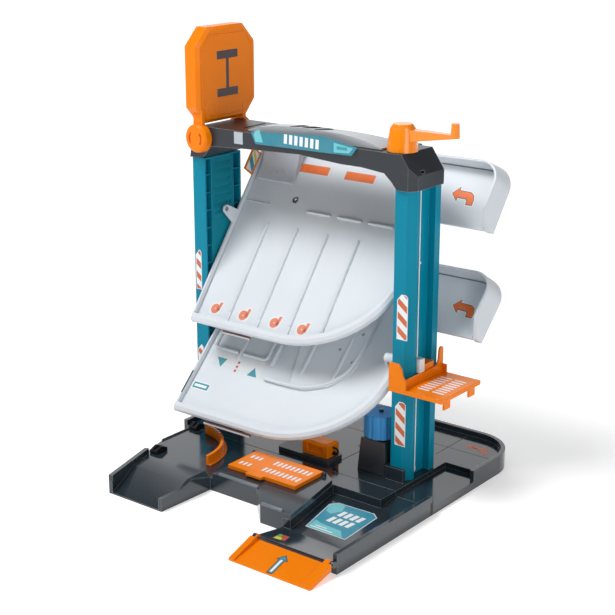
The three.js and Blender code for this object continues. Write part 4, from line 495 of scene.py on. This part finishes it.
def cover_rib(name, middle, thick=1.2, front=49.4, length=36, low=0.5, rise=1.1, steps=8):
    """A thin dark rib across the cover, arched from front to back."""
    faces = faces_of("roof_cover")
    shape = bmesh.new()
    rows = []
    for step in range(steps + 1):
        y = front + length * step / steps
        x = middle + 3 * math.sin(math.pi * step / steps / 2)
        z = faces.ray_cast(Vector((x, y, 500)) * mm, down)[0].z / mm
        top = z + low + rise * math.sin(math.pi * (step / steps) ** 1.3)
        rows.append([shape.verts.new((x + side * thick / 2, y, level))
                     for side, level in ((-1, z - 0.2), (1, z - 0.2), (1, top), (-1, top))])
    for near, far in zip(rows, rows[1:]):
        for i in range(-1, 3):
            shape.faces.new((near[i], near[i + 1], far[i + 1], far[i]))
    shape.faces.new(rows[0])
    shape.faces.new(rows[-1])
    finish_piece(name, shape, Matrix.Scale(mm, 4), "garage_frame", [rib_black])


for count, middle in enumerate((-44, -24, -4)):
    cover_rib(f"cover_rib_{count + 1}", middle)


# Landing pad
# A hollow orange pad folded upright on its hinge, with a dark letter for the landing mark let
# into its face, a low ring moulded round it, and a slotted disc that covers the hinge pin.
orange = moulded("toy_orange", hue(247, 130, 0), 0.26, cloud=0.04, edge=0.0009, edge_light=0.26,
                 scuff=0.06, shine=0.14)
mark_dark = moulded("mark_dark", hue(58, 46, 50), 0.40, cloud=0.08, edge=0.0005, edge_light=0.4)
dress(orange, "helipad")
dress(mark_dark, "helipad_letter")
dress(steel, "helipad_pin")
bead_rounds = 10
bead_end = (0.2, 0.5, 0.9, 1.3)


def beads(name, body, material, place, routes, width, height, base=0.0):
    """Half-round ridges with rounded ends, standing on a flat face along their routes."""
    shape = bmesh.new()
    half = width / 2
    arc = [math.pi * step / bead_rounds for step in range(bead_rounds + 1)]
    for route in routes:
        points = [Vector(point) for point in route]
        ways = [(b - a).normalized() for a, b in zip(points, points[1:])]
        turns = ([ways[0]] + [(a + b).normalized() for a, b in zip(ways, ways[1:])]
                 + [ways[-1]])
        places = [(points[0] - turns[0] * half * math.cos(a), turns[0], math.sin(a))
                  for a in bead_end]
        places += [(point, turn, 1.0) for point, turn in zip(points, turns)]
        places += [(points[-1] + turns[-1] * half * math.cos(a), turns[-1], math.sin(a))
                   for a in reversed(bead_end)]
        rings = []
        for middle, turn, size in places:
            side = Vector((-turn.y, turn.x)) * half * size
            rings.append([shape.verts.new((*(middle + side * math.cos(a)),
                                           base + height * size * math.sin(a))) for a in arc])
        for low, high in zip(rings, rings[1:]):
            for i in range(-1, bead_rounds):
                shape.faces.new((low[i], low[i + 1], high[i + 1], high[i]))
        shape.faces.new(rings[0])
        shape.faces.new(rings[-1])
    finish_piece(name, shape, place, body, [material], smooth=True)


pad_face = plane((-185, 0, 0), (0, 1, 0), (0, 0, 1))
pad_ring = [(52, 462), (38, 480), (38, 552), (52, 570), (125, 570), (139, 552), (139, 480),
            (125, 462), (52, 462)]
beads("pad_ring", "landing_pad", orange, pad_face, [pad_ring], 2.4, 1.0)


# Crank and winding drum
# A glossy orange hand crank on the beam, keyed to a dark drum inside it that winds the
# lift cord.
crank_orange = moulded("crank_orange", hue(252, 140, 0), 0.16, edge=0.0009, edge_light=0.3,
                       scuff=0.06, coat=0.5, shine=0.3)
dress(crank_orange, "crank")
dress(rib_black, "winch_drum")


# Lift cord and pulley
# One thin white cord runs from the drum down the channel, round a small pulley at the foot
# and back up, with a knot where its ends are tied.
cord_white = moulded("cord_white", hue(250, 251, 251), 0.62, cloud=0.03, grain=0.8, edge=0.0001,
                     edge_light=0.0)
clip_white = moulded("clip_white", hue(232, 236, 238), 0.36, cloud=0.03, edge=0.0004)
dress(cord_white, "lift_cord")
dress(clip_white, "lower_pulley")
dress(steel, "pulley_pin")


# Upper deck
# A pale grey tray with a rounded front, ridges between its bays, a printed mark in each bay,
# and a short ramp with a small board beside it. It hangs on two steel pins.
deck_grey = moulded("deck_grey", hue(218, 224, 230), 0.44, cloud=0.025, edge=0.0012,
                    edge_light=0.35, scuff=0.05, shine=0.35)
deck_cool = moulded("deck_cool_grey", hue(196, 202, 210), 0.38, cloud=0.03, edge=0.001,
                    edge_light=0.35)
# A dark grey for painted shade along the foot of the wing walls.
wall_foot_shade = moulded("wall_foot_shade", hue(112, 120, 130), 0.5)
upper_tilt = 53.3


def deck_plane(pivot_y, pivot_z, along, above, tilt):
    """The plane of a deck's floor, with its front edge as the line v = 0."""
    c, s = math.cos(math.radians(tilt)), math.sin(math.radians(tilt))
    origin = (0, pivot_y - along * c + above * s, pivot_z - along * s - above * c)
    return plane(origin, (1, 0, 0), (0, c, s))


upper = deck_plane(81, 328, 150.2, 29.1, upper_tilt)
dress(deck_grey, "upper_deck")
dress(deck_cool, "deck_ramp")
dress(orange, "ramp_sign")
dress(steel, "upper_deck_pin_left", "upper_deck_pin_right")


def ring(x, y, outer, inner, start, end, steps=10):
    """Part of a flat ring, as one outline."""
    angles = [math.radians(start + (end - start) * i / steps) for i in range(steps + 1)]
    return ([(x + outer * math.cos(a), y + outer * math.sin(a)) for a in angles]
            + [(x + inner * math.cos(a), y + inner * math.sin(a)) for a in reversed(angles)])


bay_pitch = 52
beads("upper_ridges", "upper_parking_deck", deck_grey, upper,
      [[(-128.5 + bay_pitch * i, 16), (-128.5 + bay_pitch * i, 149)] for i in range(4)],
      5.2, 3.8)
beads("upper_dashes", "upper_parking_deck", deck_grey, upper,
      [[(-70 + bay_pitch * i, 177.3), (-33 + bay_pitch * i, 177.3)] for i in range(3)],
      4.2, 3.2)
wing_corner, wing_radius = (178, 254), 24.3
wing_turn = [math.radians(a) for a in range(0, 91, 10)]
wing_floor_edge = [(108, 278.3)] + [(wing_corner[0] + wing_radius * math.sin(a),
                                     wing_corner[1] + wing_radius * math.cos(a))
                                    for a in wing_turn] + [(202.3, 198)]
# Painted shade: a thin dark bead where the wing's floor meets its wall.
beads("upper_wing_foot_shade", "upper_parking_deck", wall_foot_shade, upper,
      [wing_floor_edge], 1.8, 0.6)
bay_mark = [bar(2.4, 4, 7.2, 17, 1.4), ring(-0.8, 6, 7.2, 1.0, -100, 80),
            ring(-0.8, 6, 7.2, 1.0, 80, 260)]
bay_halo = [(-10, 0), (-7, -3.4), (6, -3.4), (9.6, 0), (10.4, 17), (8, 19.4), (2, 19),
            (-2, 15), (-8, 13), (-10, 10)]
bay_middles = (-156.5, -106, -51.5, -4.5)
mark_along, mark_turn = 8, -4
bay_marks = [moved(outline, x, mark_along, mark_turn) for x in bay_middles for outline in bay_mark]
bay_halos = [moved(bay_halo, x, mark_along, mark_turn) for x in bay_middles]
sheet("bay_marks", "upper_parking_deck", upper, [
    (bay_halos, inked("halo_white", hue(232, 236, 239)), 0.04),
    (bay_marks, print_salmon, ink_thick),
])
red_bars = [bar(-111.5, 235.4, -64, 246.6), bar(-33.8, 234.6, 13.6, 245.4)]
sheet("deck_bars", "upper_parking_deck", upper, [
    ([grown(outline, 0.9) for outline in red_bars], print_salmon, ink_thick),
    (red_bars, print_orange, ink_thick),
])


def wing_arrow(name, body, place, x, y):
    """The bent arrow on a deck's wing, with a dark and a white outline."""
    outline = moved(bent_arrow, x, y)
    sheet(name, body, place, [
        ([grown(outline, 2.0)], print_white, sheet_thick),
        ([grown(outline, 0.8)], print_dark, ink_thick),
        ([outline], print_orange, ink_thick),
        ([moved([(10, 6), (20, 5.6), (20, 7.6), (10, 8.4)], x, y)], print_salmon, ink_thick),
    ])


wing_arrow("upper_wing_arrow", "upper_parking_deck", upper, 139, 231)


def plug(name, body, place, x, y, top, radius, depth=2.4):
    """A dished steel screw head that closes a hole in a deck."""
    shape = bmesh.new()
    bmesh.ops.create_cone(shape, cap_ends=True, segments=28, radius1=radius, radius2=radius,
                          depth=depth, matrix=Matrix.Translation((x, y, top - depth / 2)))
    crown = max(shape.faces, key=lambda face: face.calc_center_median().z)
    bmesh.ops.inset_region(shape, faces=[crown], thickness=radius * 0.3, depth=-0.5)
    bmesh.ops.inset_region(shape, faces=[crown], thickness=radius * 0.25, depth=-radius * 0.3)
    finish_piece(name, shape, place, body, [steel])


plug("upper_deck_screw", "upper_parking_deck", upper, -99.5, 192, -1.6, 4.6)
rib_end = moved(ring(0, 0, 2.6, 0.01, 0, 360, 16)[:17], -141, 179)
sheet("deck_side_rib", "upper_parking_deck", upper, [
    ([bar(-183, 178, -143, 180), rib_end], deck_grey, 1.0),
])
tilt = math.radians(upper_tilt)
along_deck = Vector((0, math.cos(tilt), math.sin(tilt)))
off_deck = Vector((0, -math.sin(tilt), math.cos(tilt)))
board_face = Vector((-184.9, 0, 0))
board = plane(upper.to_translation() / mm + board_face, along_deck, off_deck)
sheet("board_prints", "upper_parking_deck", board, [
    ([bar(217.3, 9.6, 247.7, 25)], print_white, ink_thick),
    ([[(218, 10), (228, 10), (240, 24.6), (230, 24.6)]], print_teal, ink_thick),
    ([[(231, 10), (237, 10), (247, 21), (247, 24.6), (245, 24.6)]], print_yellow, ink_thick),
])


# Lower deck
# The same grey tray with a raised step, a printed panel of arrows and a small sheet at its
# left edge. Round lips edge the step, and small screws hold it. It hangs on two steel pins.
lower = deck_plane(53, 180, 133.5, 23.6, 45)
dress(deck_grey, "lower_deck")
dress(steel, "lower_deck_pin_left", "lower_deck_pin_right")
sheet("lower_panel", "lower_parking_deck", lower, [
    ([[(-173, 73), (-80, 71), (-80, 92), (-170, 91)]], inked("panel_pale", hue(228, 232, 235)),
     sheet_thick),
    ([[(-163, 82), (-150.5, 68), (-145, 82)], [(-101, 66.5), (-84, 66.5), (-93.5, 80)]],
     print_teal, ink_thick),
    ([bar(-125, low, -121.5, low + 3.5) for low in (66.5, 73, 79.5)], print_red, ink_thick),
])
sheet("lower_edge_sheet", "lower_parking_deck", lower, [
    ([bar(-180.5, 27, -150, 39, 0.5)], print_white, sheet_thick),
    ([bar(-179, 28.5, -151.5, 37.5, 0.5)], print_teal, ink_thick),
    ([bar(-176.5, 31, -155, 35, 0.3)], print_white, ink_thick),
])


def eased_corners(points, times=3):
    """A route with its corners cut again and again, until they are round."""
    for _ in range(times):
        cut = [points[0]]
        for (ax, ay), (bx, by) in zip(points, points[1:]):
            cut += [(ax * 0.75 + bx * 0.25, ay * 0.75 + by * 0.25),
                    (ax * 0.25 + bx * 0.75, ay * 0.25 + by * 0.75)]
        points = cut + [points[-1]]
    return points


step_edge = eased_corners([(-67, 68), (-22, 68), (0, 70), (34, 84), (57.5, 114), (57.5, 188)])
side_edges = [[(-175, 190), (-175, 99), (-171, 95.5), (-134, 95)],
              [(-121, 95), (-84, 94.5), (-80, 98), (-80, 150)]]
step_ridges = [[(-67.5 + bay_pitch * i, 89), (-67.5 + bay_pitch * i, 196)] for i in range(3)]
for name, routes, width, height, base in (
        ("lower_step_lip", [step_edge], 6.0, 3.2, 2.4),
        ("lower_ridges", step_ridges, 6.0, 3.0, 2.8),
        ("lower_side_lip", side_edges, 5.2, 4.2, 0.0),
        ("lower_side_ridge", [[(-127.5, 89), (-127.5, 196)]], 6.0, 3.4, 0.0)):
    beads(name, "lower_parking_deck", deck_grey, lower, routes, width,
          height, base)
sheet("lower_side_strip", "lower_parking_deck", lower, [
    ([bar(-186.3, 14, -184.3, 50)], rib_black, 0.5),
], lift=6.9)
# Painted shade: a thin dark bead where the lower wing's floor meets its wall.
beads("lower_wing_foot_shade", "lower_parking_deck", wall_foot_shade, lower,
      [wing_floor_edge], 1.8, 0.6)
wing_arrow("lower_wing_arrow", "lower_parking_deck", lower, 154.5, 229)
for count, (x, along) in enumerate(((24.1, 136.8), (51.4, 122.4), (47.5, 165.5))):
    plug(f"lower_deck_screw_{count + 1}", "lower_parking_deck", lower, x, along, 2.2, 2.2)


# Rim teeth
# A short row of pale teeth on a brown strip, moulded under the front rim of each deck to give
# small fingers a grip. The brown strip is partly painted shade beneath the rim.
tooth_brown_and_shade = moulded("tooth_brown_and_shade", hue(128, 86, 80), 0.4)
tooth_pitch, tooth_width, tooth_thick = 3.4, 2.1, 3.4


def rim_teeth(name, body, place, first, count):
    starts = [first + tooth_pitch * i for i in range(count)]
    teeth = [bar(start, -15.6, start + tooth_width, -12) for start in starts]
    backing = [bar(first - 1, -14, first + tooth_pitch * count, -11.5)]
    # The brown backing is partly painted shade beneath the rim.
    sheet(name, body, place, [(backing, tooth_brown_and_shade, tooth_thick)],
          lift=-8.4)
    sheet(f"{name}_row", body, place, [(teeth, print_white, tooth_thick)],
          lift=-8.9)


rim_teeth("upper_rim_teeth", "upper_parking_deck", upper, -133, 14)
rim_teeth("lower_rim_teeth", "lower_parking_deck", lower, -134, 24)


# Lift platform
# An orange platform with rows of white bars on its floor, which a runner keeps in the column's
# channel and a white clip ties to the cord.
dress(orange, "lift_platform", "lift_runner")
dress(clip_white, "cord_clip")
floor_bar, floor_row, floor_step = bar(168.4, 37.9, 188.4, 41.6), 22.4, 7.5
floor_bars = [moved(floor_bar, floor_row * row, floor_step * i) for row in (0, 1)
              for i in range(8)]
sheet("lift_floor_bars", "lift", lying(0), [(floor_bars, print_white, 2.2)],
      lift=152.7)


# Front ramp, lever plate and guard
# Orange parts that a child moves or drives along: a fold-down ramp on two pins, a lever plate
# with rows of white bars on its own pin, and a curved guard.
dress(orange, "front_ramp", "grid_plate", "curved_guard")
dress(steel, "front_ramp_pin_left", "front_ramp_pin_right", "grid_plate_pin")
ramp_slope = math.atan2(10.5, 46)
ramp_arrow = [(-3.2, 0), (3.2, 0), (3.2, 26), (6.4, 26), (0, 33), (-6.4, 26), (-3.2, 26)]
arrow_foot, arrow_turn = 3.4, 3
sheet("front_ramp_arrow", "entry_ramp",
      sloping((150.5, -237.5, 1.5), ramp_slope),
      [([moved(outline, 0, arrow_foot, arrow_turn)], ink, thick) for outline, ink, thick in (
          (grown(ramp_arrow, 1.3), print_dark, sheet_thick),
          (ramp_arrow, lane_blue, ink_thick),
          (bar(-1.6, 2, 1.6, 25), print_white, ink_thick))])
plate_step, plate_row = 7.0, 24
long_bars = [moved(bar(52.1, -65, 55.9, -53), -plate_step * i, plate_row * row)
             for row in (0, 1) for i in range(9)]
short_bars = [moved(bar(-42.9, -65, -39.1, -56), plate_step * i, plate_row * row)
              for row in (0, 1) for i in range(3)]
sheet("lever_plate_bars", "lever_plate", lying(0),
      [(long_bars + short_bars, print_white, 3.0)], lift=27.4)
guard_top, guard_middle, guard_radius = 32.3, (-171, -75), 82
dashes = [moved(bar(-1.2, -2.6, 1.2, 2.6),
                guard_middle[0] + guard_radius * math.cos(math.radians(a)),
                guard_middle[1] + guard_radius * math.sin(math.radians(a)), a + 25)
          for a in range(60, 81, 5)]
sheet("guard_dashes", "garage_frame", lying(guard_top),
      [(dashes, print_white, sheet_thick)])


# Lips of the raised block
# Two rounded lips moulded along the front edges of the raised block. They are coloured a grey
# much paler than the charcoal tray, as a painted highlight, so that they show as pale lines.
lip_radius = 2.2
lips = bmesh.new()
for low, high in (((-47, -101.8, 22.6), (21, -96.4, 27.8)),
                  ((55, -136.8, 22.6), (90, -131.4, 27.8))):
    low, high = Vector(low), Vector(high)
    lip = bmesh.ops.create_cube(lips, size=1.0)["verts"]
    bmesh.ops.scale(lips, vec=high - low, verts=lip)
    bmesh.ops.translate(lips, vec=(low + high) / 2, verts=lip)
    bmesh.ops.bevel(lips, geom=list({edge for v in lip for edge in v.link_edges}),
                    offset=lip_radius, segments=4, profile=0.5, affect="EDGES", material=-1)
# Painted highlight: a grey paler than the charcoal the lips are moulded in.
lip_highlight_grey = moulded("lip_highlight_grey", hue(108, 118, 126), 0.2, edge_light=0.6)
finish_piece("block_lips", lips, Matrix.Scale(mm, 4), "garage_frame",
             [lip_highlight_grey], smooth=True)


# Fuel pump and wash
# A small orange pump with a black hose and nozzle on a charcoal plinth, and a blue foam wash
# roller on its stand.
pump_dark = moulded("pump_dark", hue(58, 64, 70), 0.36, edge=0.0007, edge_light=0.4)
foam = moulded("roller_blue", hue(66, 160, 226), 0.72, cloud=0.06, grain=1.0, edge=0.0008,
               edge_light=0.15)
dress(pump_dark, "pump_plinth", "wash_stand", "wash_spindle")
dress(orange, "pump_body")
dress(rib_black, "pump_hose", "pump_nozzle")
dress(foam, "wash_roller")
dress(clip_white, "wash_nozzle")


# Latches
# Two small black latches pressed into the trays' left edge, one of them across the seam, which
# hold the trays together.
dress(rib_black, "tray_latch", "seam_latch")


# Floor and light
# A plain pale floor under broad, soft light from the front left, as in a catalogue picture. Far
# from the toy it glows a little more, so that it runs into the white behind.
near_glow, far_glow = (0.42, 0.42, 0.42, 1), (0.8, 0.8, 0.8, 1)
floor_shape = bmesh.new()
bmesh.ops.create_circle(floor_shape, cap_ends=True, segments=64, radius=60)
floor_mesh = bpy.data.meshes.new("studio_floor")
floor_shape.to_mesh(floor_mesh)
floor_shape.free()
floor = bpy.data.objects.new("studio_floor", floor_mesh)
scene.collection.objects.link(floor)
studio_white = inked("studio_white", (0.93, 0.93, 0.93, 1), 0.7)
paper = studio_white.node_tree
away = Link.node(paper, "ShaderNodeVectorMath", {"operation": "LENGTH"},
                 {0: Link.node(paper, "ShaderNodeTexCoord", out="Object")}, out="Value")
tinted(away.above(1.9, 1.0), near_glow, far_glow).into(paper.nodes["Principled BSDF"],
                                                       "Emission Color")
paper.nodes["Principled BSDF"].inputs["Emission Strength"].default_value = 1.0
floor.data.materials.append(studio_white)
world = bpy.data.worlds.new("studio")
world.use_nodes = True
room = world.node_tree
back_wall = (-0.616, 0.788, 0.0)
facing = Link.node(room, "ShaderNodeVectorMath", {"operation": "DOT_PRODUCT"},
                   {0: Link.node(room, "ShaderNodeTexCoord"), 1: back_wall}, out="Value")
(facing.above(0.8, 0.15) * 1.0 + 0.16).into(room.nodes["Background"], "Strength")
room.nodes["Background"].inputs["Color"].default_value = (1.0, 1.0, 1.0, 1)
scene.world = world


def soft_light(name, place, power, size, target=(0, 0, 0.22)):
    """A square light that points at the middle of the toy."""
    data = bpy.data.lights.new(name, "AREA")
    data.energy = power
    data.size = size
    lamp = bpy.data.objects.new(name, data)
    lamp.location = place
    lamp.rotation_euler = (Vector(target) - Vector(place)).to_track_quat("-Z", "Y").to_euler()
    scene.collection.objects.link(lamp)


soft_light("key_light", (-1.0, -1.35, 3.2), 92, 1.4)
soft_light("top_light", (0.3, 0.2, 2.6), 3, 1.6)
soft_light("right_fill", (2.2, -0.9, 1.0), 15, 1.2)
